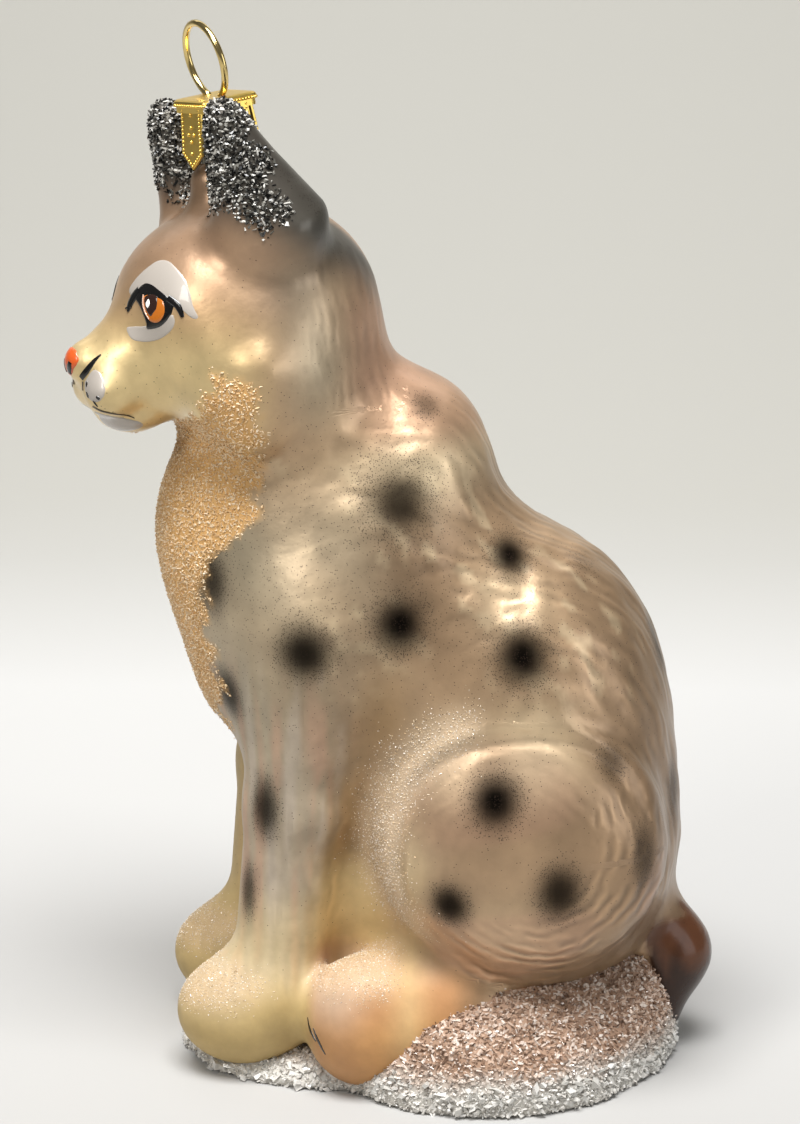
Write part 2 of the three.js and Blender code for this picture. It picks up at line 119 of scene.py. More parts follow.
def body_form(p):
    """Distance to the whole glass form, in millimetres."""
    d = ball(p, (0, -9, 60), (17.5, 19, 20))                                      # chest and shoulders
    d = melt(d, ball(p, (0, -2.8, 72.8), (11.5, 9.3, 10.3)), 4.5)                 # shoulder hump
    d = melt(d, ball(p, (0, -17.5, 52.3), (13, 11.4, 15.2)), 5)                   # breast
    d = melt(d, ball(p, (0, 7.6, 46.6), (19, 19.6, 19.2), -15), 7)                # back
    d = melt(d, ball(p, (0, 10.7, 28.5), (19, 19.4, 24)), 8)                      # rump
    d = melt(d, ball(p, (0, -4, 24), (9.5, 12, 24)), 5)                           # wall between the legs
    throat = ball(p, (0, -15.8, 79), (13.5, 11.4, 15))
    throat = melt(throat, ball(p, (0, -19.8, 65), (12.5, 12.5, 14)), 6)           # ruff under the chin
    d = melt(d, throat, 6)
    q = on_head(p)
    d = melt(d, head_form(q), 4)
    d = melt(d, ear_form(q), 3)
    d = melt(d, limb(q, (0, -11.5, 15), (0, -10.5, 8), 2.7, 4), 2)                # root of the glass neck
    for s in (1, -1):
        ahead = 0 if s > 0 else -2.4
        leg = limb(p, (s * 10, -13 + ahead * 0.3, 55), (s * 9.3, -15.5 + ahead, 33), 9, 6)
        leg = melt(leg, limb(p, (s * 9.3, -15.5 + ahead, 33), (s * 9.3, -18.3 + ahead, 12), 6, 4.9), 2)
        leg = melt(leg, ball(p, (s * 9.5, -21.6 + ahead, 7.3), (7, 8.4, 6.6)), 5)
        d = melt(d, leg, 5)
        d = melt(d, ball(p, (s * THIGH_AT[0], THIGH_AT[1], THIGH_AT[2]), THIGH_HALF), 2.2)
        foot = ball(p, (s * 14.7, -7.4, 8.1), (6.7, 7, 7.8), 0, s * 8)
        d = melt(d, melt(foot, ball(p, (s * 12.2, 1.6, 8.3), (7.4, 10.7, 8)), 4), 3)
    tail = limb(p, (0, 22.8, 20), (0, 28.6, 11.6), 6, 5.2)
    d = melt(d, melt(tail, limb(p, (0, 28.6, 11.6), (1, 27, 5.5), 5.2, 4), 2), 2)
    return np.maximum(d, 0.9 - p[..., 2])


def slopes(form, p, e=0.06):
    """Direction in which a form's distance grows, at each point."""
    g = []
    for axis in range(3):
        off = np.zeros(3)
        off[axis] = e
        g.append((form(p + off) - form(p - off)) / (2 * e))
    return np.stack(g, -1)


def skin_over(form, lo, hi, step):
    """Vertices and four-sided faces of a form's surface, one vertex per crossed grid cell."""
    lo, hi = np.array(lo, float), np.array(hi, float)
    n = np.ceil((hi - lo) / step).astype(int) + 1
    value = np.full(n, step)
    ys, zs = lo[1] + step * np.arange(1, n[1] - 1), lo[2] + step * np.arange(1, n[2] - 1)
    for i in range(1, n[0] - 1):
        p = np.stack(np.meshgrid([lo[0] + i * step], ys, zs, indexing="ij"), -1)
        value[i, 1:-1, 1:-1] = form(p)[0]
    inside = value < 0
    total, count = np.zeros((*(n - 1), 3)), np.zeros(n - 1)
    crossings = []
    for axis in range(3):
        low = [slice(None)] * 3
        high = [slice(None)] * 3
        low[axis], high[axis] = slice(0, -1), slice(1, None)
        low, high = tuple(low), tuple(high)
        cross = inside[low] != inside[high]
        with np.errstate(divide="ignore", invalid="ignore"):
            part = np.where(cross, value[low] / (value[low] - value[high]), 0)
        crossings.append(cross)
        counted = [np.arange(k, dtype=float) for k in cross.shape]
        met = np.stack(np.meshgrid(*counted, indexing="ij"), -1)
        met[..., axis] += part
        others = [a for a in range(3) if a != axis]
        for u in (0, 1):
            for v in (0, 1):
                pick = [slice(None)] * 3
                pick[others[0]] = slice(u, u + n[others[0]] - 1)
                pick[others[1]] = slice(v, v + n[others[1]] - 1)
                pick = tuple(pick)
                total += met[pick] * cross[pick][..., None]
                count += cross[pick]
    live = count > 0
    index = np.full(n - 1, -1)
    index[live] = np.arange(live.sum())
    verts = lo + step * total[live] / count[live][:, None]
    for _ in range(3):
        g = slopes(form, verts)
        move = np.clip(form(verts) / ((g ** 2).sum(1) + 1e-6), -step / 3, step / 3)
        verts -= g * move[:, None]
    faces = []
    for axis in range(3):
        b, c = (axis + 1) % 3, (axis + 2) % 3
        where = np.argwhere(crossings[axis])
        where = where[(where[:, b] > 0) & (where[:, c] > 0)
                      & (where[:, b] < n[b] - 1) & (where[:, c] < n[c] - 1)]
        quad = []
        for db, dc in ((1, 1), (0, 1), (0, 0), (1, 0)):
            at = where.copy()
            at[:, b] -= db
            at[:, c] -= dc
            quad.append(index[tuple(at.T)])
        quad = np.stack(quad, 1)
        outward = inside[tuple(where.T)]
        quad[~outward] = quad[~outward][:, ::-1]
        faces.append(quad)
    return verts, np.concatenate(faces)


def new_object(name, verts, faces, smooth=True):
    """A mesh object from millimetre vertices."""
    mesh = bpy.data.meshes.new(name)
    faces = faces.tolist() if isinstance(faces, np.ndarray) else faces
    mesh.from_pydata((np.asarray(verts) * MM).tolist(), [], faces)
    mesh.polygons.foreach_set("use_smooth", [smooth] * len(mesh.polygons))
    mesh.update()
    obj = bpy.data.objects.new(name, mesh)
    bpy.context.scene.collection.objects.link(obj)
    return obj


def keep(obj, name, values):
    """Keeps one number or one colour at each vertex."""
    values = np.asarray(values, float)
    kind, field = ("FLOAT", "value") if values.ndim == 1 else ("FLOAT_COLOR", "color")
    if values.ndim > 1:
        values = np.c_[values, np.ones(len(values))]
    obj.data.attributes.new(name, kind, "POINT").data.foreach_set(field, values.ravel())


def rgb(code):
    """Linear colour from a six-figure sRGB code."""
    v = [int(code[i:i + 2], 16) / 255 for i in (0, 2, 4)]
    return np.array([c / 12.92 if c <= 0.04045 else ((c + 0.055) / 1.055) ** 2.4 for c in v])


def soft(x, low, high):
    """Smooth step from 0 at low to 1 at high."""
    t = np.clip((x - low) / (high - low), 0, 1)
    return t * t * (3 - 2 * t)


def blur_noise(p, size, seed):
    """Soft patches about size across, from 0 to 1."""
    draw = np.random.default_rng(seed)
    total = 0
    for _ in range(7):
        way = draw.normal(size=3)
        way /= np.linalg.norm(way)
        total = total + np.sin(p @ way * (2 * math.pi / size) * draw.uniform(0.6, 1.5)
                               + draw.uniform(0, 6.28))
    return 0.5 + 0.5 * np.clip(total / 3.2, -1, 1)


def four(code):
    """Linear colour with its alpha, for a node's socket."""
    return (*[float(c) for c in rgb(code)], 1.0)


def new_material(name):
    """An empty material."""
    mat = bpy.data.materials.new(name)
    mat.use_nodes = True
    mat.node_tree.nodes.clear()
    return mat


def add(owner, kind, settings=None, sockets=None):
    """One node with its settings; a socket gets a value, an output or a node's first output."""
    tree = getattr(owner, "node_tree", owner)
    node = tree.nodes.new(kind)
    for key, value in (settings or {}).items():
        setattr(node, key, value)
    for key, value in (sockets or {}).items():
        if isinstance(value, bpy.types.Node):
            value = value.outputs[0]
        if isinstance(value, bpy.types.NodeSocket):
            tree.links.new(value, node.inputs[key])
        else:
            node.inputs[key].default_value = value
    return node


def shaded(mat, sockets):
    """Ends a material in its one shader."""
    shader = add(mat, "ShaderNodeBsdfPrincipled", {}, sockets)
    add(mat, "ShaderNodeOutputMaterial", {}, {"Surface": shader})
    return mat


verts, faces = skin_over(body_form, (-24, -42.5, -1), (24, 35.5, 117.5), SKIN_STEP)
normals = slopes(body_form, verts)
normals /= np.linalg.norm(normals, axis=1, keepdims=True) + 1e-9
local = on_head(verts)

# the mould's fur: strands on haunch, back, ruff and shin, and a groove and a lip round the thigh
RIM_DENT, LIP_RISE = 0.42, 0.3
side_sign = np.sign(verts[:, 0] + 1e-9)
from_thigh = verts - np.stack([side_sign, np.ones(len(verts)), np.ones(len(verts))], 1) * THIGH_AT
round_thigh = np.hypot(from_thigh[:, 1] / THIGH_HALF[1], from_thigh[:, 2] / THIGH_HALF[2])
on_thigh = soft(np.abs(verts[:, 0]), 12, 16) * soft(-round_thigh, -1.02, -0.95)
sweep = np.arctan2(from_thigh[:, 2], -from_thigh[:, 1])
drift = blur_noise(verts, 4.2, 31)
low_rear = soft(from_thigh[:, 1] - 0.9 * from_thigh[:, 2], -4, 12)
on_back = soft(normals[:, 1], -0.35, 0.35) * (1 - on_thigh)
on_back = on_back * soft(verts[:, 2], 14, 24) * soft(84 - verts[:, 2], 0, 10)
on_ruff = soft(local[:, 1], -7, -3) * soft(9 - local[:, 1], 0, 3) * soft(12 - np.abs(local[:, 2] + 1), 0, 6)
on_shin = soft(34 - np.abs(verts[:, 2] - 30), 8, 20) * soft(-verts[:, 1], 8, 12) * (1 - on_thigh)
beds = [  # where fur is modelled, how deep, and the distance across its strands
    (on_thigh * soft(round_thigh, 0.3, 0.6), 0.12 + 0.88 * low_rear,
     round_thigh * THIGH_HALF[2] + 2.2 * sweep),
    (on_back, 0.42, verts[:, 0] + 0.25 * verts[:, 1] - 0.2 * verts[:, 2]),
    (on_ruff, 0.25, local[:, 1] + 0.15 * local[:, 2]),
    (on_shin, 0.16, verts[:, 1]),
]
comb_depth, comb_across = np.zeros(len(verts)), verts[:, 0] * 1.0
for where, deep, across in beds:
    comb_across = np.where(where * deep > comb_depth, across, comb_across)
    comb_depth = np.maximum(comb_depth, where * deep)
rim = np.exp(-((round_thigh - 0.87) / 0.055) ** 2) * soft(np.abs(verts[:, 0]), 12, 17)
rim = rim * soft(from_thigh[:, 2] - 0.3 * from_thigh[:, 1], -6, 6)
lumps = (drift - 0.5) * 2 * (on_back + 0.6 * on_thigh * low_rear + 0.5 * on_ruff)
lip = np.exp(-((round_thigh - 0.96) / 0.045) ** 2)
lip = lip * soft(np.abs(verts[:, 0]), 12, 16) * soft(from_thigh[:, 2], 4, 12)
verts = verts + normals * (GROOVE_DEPTH * lumps - RIM_DENT * rim + LIP_RISE * lip)[:, None]

skin = new_object("glass_body", verts, faces)

# sprayed colours, from the back to the paws, then soft black spots and brown tail over them
TAN, DUSK, CHAMPAGNE = rgb("b99a78"), rgb("735b44"), rgb("f3dcb4")
FACE, CREAM, SAGE = rgb("cbab7c"), rgb("dfc893"), rgb("a79c84")
PALE, PAW, PINK = rgb("ab9c87"), rgb("b89f6c"), rgb("bd937a")
EAR_GREY, SMOKE = rgb("57564f"), rgb("060504")
BROWN, BARK, PEACH = rgb("5a3824"), rgb("1d120d"), rgb("b58253")
HONEY, LILAC, FROST = rgb("9c7845"), rgb("c0b3a6"), rgb("cbbba6")
APRICOT, SLATE = rgb("c9975c"), rgb("3f4341")


def spray(color, over, amount):
    """Colour with another sprayed over it."""
    return color + (over - color) * np.clip(amount, 0, 1)[:, None]


def off(value, middle, width):
    """How far a value is from the middle of a soft band, squared."""
    return ((value - middle) / width) ** 2


def patches(color, over, table, part=1.0):
    """Sprays round patches on both sides of the body, from places, sizes and strengths."""
    for at, size, strength in table:
        for s in (1, -1):
            away = np.linalg.norm(verts - np.array(at) * (s, 1, 1), axis=1) / size
            color = spray(color, over, strength * np.exp(-away ** 2) * part)
    return color


up, out, fore = verts[:, 2], np.abs(verts[:, 0]), -verts[:, 1]
drift = blur_noise(verts, 17, 5)
color = np.tile(TAN, (len(verts), 1))
for over, amount in [
    # painted shade: the surfaces that face the tail are sprayed darker, as if turned from the light
    (DUSK, soft(normals[:, 1], 0.1, 0.95) * 0.55),
    (DUSK, soft(60 - up, 0, 34) * soft(up, 12, 18) * 0.38 * (0.6 + 0.6 * drift)),
    (SAGE, soft(fore, -2, 14) * soft(78 - up, 0, 14) * (0.55 + 0.4 * drift)),
    # painted highlight: a pale band along the top of the shoulders
    (CHAMPAGNE, np.exp(-off(up, 76, 5) - off(fore, 2, 9)) * 0.75),
]:
    color = spray(color, over, amount)
color = patches(color, CHAMPAGNE, [  # painted highlights: pale pearl sprayed on the high spots where the lights catch them
    ((14, 0, 73.5), 4.2, 0.55), ((12, -8, 69), 4, 0.4), ((16, 9.5, 60), 4.5, 0.5), ((21, 12, 42.5), 5, 0.95),
    ((21, 2, 41), 4.5, 0.9), ((21, 9, 20), 6, 0.35), ((12, -9, 86), 4, 0.6), ((20, -3, 31), 4, 0.4),
])
color = patches(color, DUSK, [  # broad brown shading between the spots
    ((16.5, -1, 64), 6, 0.6), ((14.5, -9, 45), 7, 0.65), ((18, 3.5, 57), 6, 0.45), ((13, -11, 79), 5, 0.4),
    ((16, -6, 33), 6, 0.4), ((11, 18, 62), 5, 0.35), ((19, 14, 37), 6, 0.3), ((13, -10, 52), 5, 0.3),
], 0.6 + 0.5 * drift)
streaks = blur_noise(verts * (1, 1.6, 0.16), 3.6, 51)
down_leg = soft(fore, 7, 12) * soft(56 - up, 0, 14)
# painted highlights: pale pearly glints scattered over the upper back
back_glints = on_back * soft(blur_noise(verts * (1, 1, 1.3), 2.6, 52), 0.6, 0.95)
web = soft(fore, 2, 7) * soft(16 - fore, 0, 5) * soft(46 - up, 0, 14) * soft(16 - out, 0, 4)
far_paw = soft(-side_sign * 4 + fore, 12, 16) * (side_sign < 0)
hind = soft(out, 6, 9) * soft(17 - up, 0, 4) * soft(14.5 - fore, 0, 2) * soft(fore, -9, -2)
edge_glow = np.exp(-((round_thigh - 0.98) / 0.14) ** 2) * soft(-from_thigh[:, 1], 3, 9) * soft(out, 7, 11)
on_face = soft(up, 74, 79)
lift, back, wide = local[:, 2], local[:, 1], np.abs(local[:, 0])
for over, amount in [
    # thigh, forelegs and back
    (PINK, on_thigh * 0.35 * soft(blur_noise(verts, 22, 9), 0.3, 0.8)),
    (PALE, soft(fore, 8, 14) * soft(50 - up, 0, 16) * 0.7),
    (LILAC, down_leg * soft(streaks, 0.5, 0.9) * 0.4),
    (PINK, down_leg * soft(0.5 - streaks, 0, 0.35) * 0.45),
    # painted highlights on the upper back
    (CHAMPAGNE, back_glints * soft(up, 44, 54) * soft(side_sign * verts[:, 0], 6, 10) * 0.35),
    (HONEY, web * 0.75),
    (CREAM, web * soft(31 - up, 0, 9) * 0.65),
    (CREAM, soft(fore, 8, 12) * soft(26 - up, 0, 9) * 0.45),
    (HONEY, np.exp(-off(up, 43, 9) - off(fore, 5, 3.5)) * 0.5),
    # paws
    (PAW, soft(fore, 9, 15) * soft(15 - up, 0, 6)),
    (FROST, soft(fore, 18, 24) * soft(16 - up, 0, 3) * soft(up, 6, 12) * 0.3),
    (PAW, far_paw * soft(46 - up, 0, 10) * 0.8),
    (PEACH, hind * 0.85),
    (LILAC, hind * soft(fore, 5, 11) * soft(up, 7, 13) * 0.45),
    (APRICOT, hind * soft(8 - np.abs(fore - 3), 0, 6) * soft(12 - up, 0, 4) * 0.5),
    (CREAM, soft(4 - np.abs(fore - 2), 0, 6) * soft(out, 5, 8) * soft(40 - up, 0, 16) * 0.5),
    (FROST, edge_glow * soft(up, 16, 24) * 0.75),
    # head
    (TAN, on_face),
    (FACE, on_face * soft(-back, 6, 16) * soft(9 - lift, 0, 8) * 0.9),
    (CREAM, on_face * soft(-lift, -2, 4) * soft(-back, 8, 18) * 0.8),
    # painted shade: the forehead is darkened to hold down the key light's reflection there
    (DUSK, on_face * soft(lift, 2, 7) * soft(-back, 11, 15) * 0.42),
    (PINK, on_face * soft(-back, 4, 10) * soft(lift, -1, 4) * 0.3),
    (PINK, on_face * soft(back, -1, 4) * 0.4),
    (EAR_GREY, on_face * np.exp(-off(back, -6, 5) - off(lift, 5, 5)) * 0.55),
    (PINK, on_face * soft(back, -3, 2) * soft(8 - np.abs(lift + 3), 0, 5) * 0.45),
    (SAGE, on_face * np.exp(-off(back, -4, 4.5) - off(lift, -4, 8)) * 0.7),
    (SLATE, soft(lift + 0.5 * back, 2.5, 9) * soft(wide, 2.5, 5.5) * 0.9),
    (DUSK, on_face * soft(lift, 8, 12) * soft(5 - wide, 0, 3) * 0.6),
]:
    color = spray(color, over, amount)

spots = [  # place, radius along and across, strength
    ((14.3, -3.5, 71), 5.2, 4.6, 0.68), ((14, -3.2, 70.2), 2.8, 2.5, 0.85), ((10.4, 9, 63.2), 2.9, 2.6, 1.0),
    ((17.3, -3.1, 56.9), 3.3, 3.1, 1.0), ((17.1, 10.7, 53.2), 3.7, 3.4, 1.0),
    ((19.2, -13.7, 54), 3.3, 3.1, 0.97), ((12.5, -24.8, 60.7), 3.5, 2.2, 0.9),
    ((12.1, -23.2, 47.2), 2.9, 2.2, 0.9), ((14.9, -18.8, 34.2), 3.4, 1.8, 0.92),
    ((12.8, -21.1, 23.4), 3.0, 1.3, 0.8), ((21.6, 7.8, 37.5), 3.5, 3.2, 1.0),
    ((21.1, 2.7, 24.9), 2.6, 2.3, 0.97), ((22.5, 15.2, 27.1), 3.4, 2.6, 0.95),
    ((17.2, 21, 40.9), 2.2, 1.8, 0.7), ((18.4, 24.9, 30.3), 3.6, 1.6, 0.7),
    ((1.8, 26, 50.1), 3.8, 2.0, 0.85), ((5.6, 28.7, 33.9), 3.6, 1.5, 0.6),
    ((7.5, -0.5, 80.2), 1.9, 1.6, 0.7), ((6, 17, 60.5), 2.4, 2.2, 0.5), ((4.6, -20.6, 28.2), 3, 1.3, 0.6),
]
black = np.zeros(len(verts))
SPOT_WANDER = 1.1   # the right side's spots stray by this much from the left's
for (x, y, z), tall, across, strength in spots:
    for s in (1, -1):
        at = np.array([s * x, y, z], float)
        if s < 0:
            at += random.normal(0, SPOT_WANDER, 3) * (0.4, 1, 1)
            if abs(x) < 6:
                continue
        d = verts - at
        level = np.hypot(d[:, 2] / tall, np.hypot(d[:, 0] * 0.9, d[:, 1]) / across)
        dab = 0.75 * np.exp(-(level * 0.92) ** 3.4) + 0.25 * np.exp(-(level * 0.7) ** 3)
        black = 1 - (1 - black) * (1 - strength * dab)
smoke = [(-2.5, 14.5, 3.2, 0.55), (0.5, 9.5, 2.6, 0.45), (-6.5, 17.5, 2.2, 0.4)]   # behind the ears
for s in (1, -1):
    for back_at, lift_at, size, strength in smoke:
        d = local - np.array([s * 11, back_at, lift_at])
        black = 1 - (1 - black) * (1 - strength * np.exp(-(np.linalg.norm(d, axis=1) / size) ** 2))
color = spray(color, SMOKE, black)
tail_streak = 0.5 + 0.5 * np.sin((verts[:, 0] + verts[:, 1]) * 2.4 + up * 0.3 + 2 * drift)
on_tail = soft(verts[:, 1] - 26.2 + 0.7 * tail_streak, 0, 0.8) * soft(8.5 - out, 0, 1.5)
on_tail = on_tail * soft(17.6 - up + 1.6 * tail_streak, 0, 0.8)
color = spray(color, BROWN, on_tail)
color = spray(color, BARK, on_tail * soft(13 - up + 3 * tail_streak, 0, 5) * 0.8)

# where glue was brushed on for the crystals: ears, bib, paws and the front edge of each thigh
ragged = blur_noise(verts, 3.2, 21) - 0.5
ear_low = soft(lift - 14.2 + 0.47 * (back + 15.3) + 2.6 * ragged, -0.4, 0.6)
ear_rear = soft(-7.4 - 0.35 * np.maximum(lift - 14.8, 0) - back + 2.6 * ragged, -0.4, 0.8)
keep(skin, "ear_mask", ear_low * ear_rear * soft(wide, 3.2, 4.6))
cheek_edge = np.interp(lift, [-21, -17, -12, -7.3, -4.2], [-10.2, -10.2, -10.3, -10.7, -14])
cheek = soft(cheek_edge - back + 1.8 * ragged, 0, 1.2) * soft(-4.5 - lift + 1.5 * ragged, 0, 1)
cheek = cheek * soft(back + 17.5 - 0.12 * (lift + 13.5) + 1.5 * ragged, 0, 1) * soft(up, 69, 73)
breast_edge = np.interp(up, [42, 45.3, 51.9, 58, 63.1, 65.8, 69.4, 74],
                        [24, 23.8, 25.3, 26, 24.7, 21.9, 19.2, 18.6])
breast = soft(fore - breast_edge + 2.2 * ragged, -0.6, 0.9)
breast = breast * soft(up + 3 * ragged, 41, 44) * soft(77.5 - up, 0, 2)
bib = np.clip(np.maximum(cheek, breast), 0, 1)
keep(skin, "bib_mask", bib)
sparse = 0.35 + 1.1 * blur_noise(verts, 2.2, 23)
paw_top = soft(normals[:, 2], 0.1, 0.6) * soft(15.5 - up, 0, 3) * soft(fore, 17, 20)
hind_top = soft(normals[:, 2], 0.2, 0.7) * soft(17.5 - up, 0, 1) * soft(up, 11, 14)
hind_top = hind_top * soft(15 - fore, 0, 2) * soft(fore, 2, 5) * soft(out, 7, 9)
thigh_edge = np.exp(-((round_thigh - 1.0) / 0.14) ** 2) * soft(-from_thigh[:, 1], 3, 9)
thigh_edge = thigh_edge * soft(out, 8, 11) * soft(up, 18, 23)
keep(skin, "dust_mask", np.clip((paw_top + hind_top + 1.3 * thigh_edge) * sparse, 0, 1))
color = spray(color, rgb("d2a76f"), bib)
color = spray(color, rgb("c9ad8c"), (paw_top + hind_top + thigh_edge) * 0.5)
keep(skin, "paint", color)
keep(skin, "comb_depth", comb_depth)
keep(skin, "comb_across", comb_across)
keep(skin, "enamel", np.clip(on_tail, 0, 1))

# how silvered, glossy or milky the finish is from place to place
milky = soft(fore, 3, 10) * soft(54 - up, 0, 16) + soft(22 - up, 0, 6) * soft(fore, -6, 0)
milky = np.clip(milky + edge_glow, 0, 1)
left_side = verts * (side_sign[:, None] * (1, 0, 0) + (0, 1, 1))
dulled = np.exp(-(np.linalg.norm(left_side - (16, -15, 55), axis=1) / 7) ** 2)
sheen = 0.58 * (1 - black) * (1 - on_tail) * (1 - 0.88 * milky) * (1 - 0.8 * dulled) * (1 - 0.95 * bib)
keep(skin, "sheen", sheen)
keep(skin, "gloss", 0.7 * sheen + 0.2 * milky * (1 - black) + 0.3 * on_tail + 0.01)
keep(skin, "milky", milky * (1 - on_tail))
haze = np.exp(-((up - 62) / 16) ** 2) * soft(np.abs(normals[:, 0]), 0.2, 0.9)
flecks = (0.006 + 0.4 * soft(black, 0.03, 0.5) + 0.07 * haze) * soft(up, 10, 20)
keep(skin, "flecks", np.clip(flecks, 0, 1))

# satin pearl lacquer sprayed over silvered glass: a soft pearly glow, milky where it is thick, with
# fine black overspray and, in bump, the strands and ripples of the mould
MATH, RANGE, NOISE, MIX = "ShaderNodeMath", "ShaderNodeMapRange", "ShaderNodeTexNoise", "ShaderNodeMix"
TIMES, TIMES_ADD = {"operation": "MULTIPLY"}, {"operation": "MULTIPLY_ADD"}
FLECKS_PER_MM = 6.8
lacquer = new_material("lacquered_silvered_glass")
kept = {}
for name in ("flecks", "enamel", "sheen", "gloss", "milky", "comb_across", "comb_depth"):
    kept[name] = add(lacquer, "ShaderNodeAttribute", {"attribute_name": name}).outputs["Fac"]
paint = add(lacquer, "ShaderNodeAttribute", {"attribute_name": "paint"}).outputs["Color"]
place = add(lacquer, "ShaderNodeTexCoord").outputs["Object"]
cloudy = {}
for name, size, detail, roughness in [  # patches in mm: tone, ripples, bends and breaks of the strands
    ("mottle", 4.76, 4.0, 0.6), ("ripple", 2.38, 3.0, 0.5),
    ("stray", 5.26, 2.0, 0.5), ("gap", 3.33, 1.0, 0.5),
]:
    cloudy[name] = add(lacquer, NOISE, {}, {"Vector": place, "Scale": 1 / (size * MM), "Detail": detail,
                                            "Roughness": roughness}).outputs["Fac"]
cell = add(lacquer, "ShaderNodeTexVoronoi", {"feature": "F1"}, {"Vector": place, "Scale": FLECKS_PER_MM / MM})
drawn = add(lacquer, "ShaderNodeTexWhiteNoise", {}, {"Vector": cell.outputs["Position"]})
chosen = add(lacquer, MATH, {"operation": "LESS_THAN"}, {0: drawn.outputs["Value"], 1: kept["flecks"]})
near = add(lacquer, RANGE, {}, {"Value": cell.outputs["Distance"], "From Min": 0.28, "From Max": 0.48,
                                "To Min": 1.0, "To Max": 0.0})
dot = add(lacquer, MATH, TIMES, {0: chosen, 1: near})
bent = add(lacquer, MATH, TIMES_ADD, {0: cloudy["stray"], 1: 2.4, 2: kept["comb_across"]})
phase = add(lacquer, MATH, TIMES, {0: bent, 1: 2 * math.pi / STRAND})
wave = add(lacquer, MATH, {"operation": "SINE"}, {0: phase})
unbroken = add(lacquer, RANGE, {}, {"Value": cloudy["gap"], "From Min": 0.38, "From Max": 0.58})
strands = add(lacquer, MATH, TIMES, {0: wave, 1: unbroken})
fur = add(lacquer, MATH, TIMES, {0: strands, 1: kept["comb_depth"]})
shade = add(lacquer, RANGE, {}, {"Value": cloudy["mottle"], "From Min": 0.3, "From Max": 0.7,
                                 "To Min": 0.86, "To Max": 1.1})
# the strands are tinted too, lighter on their ridges and darker in their grooves: partly painted streaks and
# partly painted shade of the moulded relief, over the random mottle
mottle_and_groove_shade = add(lacquer, MATH, TIMES_ADD, {0: fur, 1: 0.3, 2: shade})
grey = add(lacquer, "ShaderNodeCombineColor", {}, {"Red": mottle_and_groove_shade, "Green": mottle_and_groove_shade, "Blue": mottle_and_groove_shade})
tinted = add(lacquer, MIX, {"data_type": "RGBA", "blend_type": "MULTIPLY"}, {0: 1.0, 6: paint, 7: grey})
specked = add(lacquer, MIX, {"data_type": "RGBA"}, {0: dot, 6: tinted.outputs[2], 7: four("2a211b")})
relief = add(lacquer, MATH, TIMES_ADD, {0: fur, 1: 0.85, 2: cloudy["ripple"]})
bump = add(lacquer, "ShaderNodeBump", {}, {"Height": relief, "Strength": 0.35, "Distance": 0.22 * MM})
glaze = add(lacquer, RANGE, {}, {"Value": kept["enamel"], "To Min": 0.36, "To Max": 0.24})
rough = add(lacquer, MATH, TIMES_ADD, {0: kept["milky"], 1: 0.2, 2: glaze})
coat = add(lacquer, MATH, TIMES, {0: kept["sheen"], 1: 0.5})
shaded(lacquer, {"Base Color": specked.outputs[2], "Metallic": kept["sheen"], "Roughness": rough, "IOR": 1.5,
                 "Normal": bump, "Specular IOR Level": kept["gloss"], "Coat Weight": coat,
                 "Coat Roughness": 0.28})
skin.data.materials.append(lacquer)
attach(skin, "root")
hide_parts("head", "ear_left", "ear_right", "neck", "torso", "rump", "foreleg_left",
            "foreleg_right", "forepaw_left", "forepaw_right", "thigh_left", "thigh_right",
            "hindpaw_left", "hindpaw_right", "tail")

# EYES, NOSE AND MUZZLE
# Enamel brushed on over the lacquer by hand: pearl patches first, then black lashes, amber, pupil
# and a white catchlight, each a thin raised film. Sizes are read across the brushed shape in mm.
FILM = 0.07


class Easel:
    """A place on the glass to paint on, with u towards the tail and v up; the other side mirrors it."""

    def __init__(self, at, facing, side=1, turn=HEAD_TURN, pivot=HEAD_PIVOT):
        self.at, self.side, self.turn, self.pivot = np.array(at, float), side, turn, pivot
        self.n = np.array(facing, float) / np.linalg.norm(facing)
        self.u = np.cross((0, 0, 1), self.n)
        self.u /= np.linalg.norm(self.u)
        self.v = np.cross(self.n, self.u)

    def lay(self, uv, height):
        """Millimetre points of a film on the glass, raised by height."""
        uv = np.asarray(uv, float)
        q = self.at + uv[:, :1] * self.u + uv[:, 1:2] * self.v
        q[:, 0] *= self.side
        n = self.n * (self.side, 1, 1)
        p = turned(q + n * 3.5, self.turn, 0, 1) + self.pivot
        way = turned(n[None], self.turn, 0, 1)[0]
        for _ in range(26):
            p = p - way * np.clip(body_form(p), -1, 2)[:, None] * 0.8
        g = slopes(body_form, p)
        g /= np.linalg.norm(g, axis=1, keepdims=True)
        return p + g * np.asarray(height).reshape(-1, 1)


def smooth_ring(points, count=72):
    """A closed smooth line through a few points."""
    pts = np.array(points, float)
    n = len(pts)
    out = []
    for t in np.arange(count) * n / count:
        i, f = int(t), t - int(t)
        a, b, c, d = (pts[(i + k - 1) % n] for k in range(4))
        out.append(0.5 * (2 * b + (c - a) * f + (2 * a - 5 * b + 4 * c - d) * f ** 2
                          + (3 * b - a - 3 * c + d) * f ** 3))
    return np.array(out)


def film(easel, outline, layer, centre=None, rings=9, thick=FILM, count=72):
    """A dab of enamel inside a closed outline, domed and thin at its edge."""
    line = smooth_ring(outline, count)
    centre = line.mean(0) if centre is None else np.array(centre, float)
    uv, height = [centre], [layer + thick]
    for r in range(1, rings + 1):
        t = r / rings
        for q in line:
            uv.append(centre + (q - centre) * t)
            height.append(layer + thick * (1 - t ** 6) - (0.12 if r == rings else 0))
    p = easel.lay(uv, height)
    faces = []
    for i in range(count):
        j = (i + 1) % count
        faces.append([0, 1 + i, 1 + j])
        for r in range(rings - 1):
            a, b = 1 + r * count, 1 + (r + 1) * count
            faces.append([a + i, b + i, b + j, a + j])
    return p, [f[::-1] for f in faces] if easel.side < 0 else faces


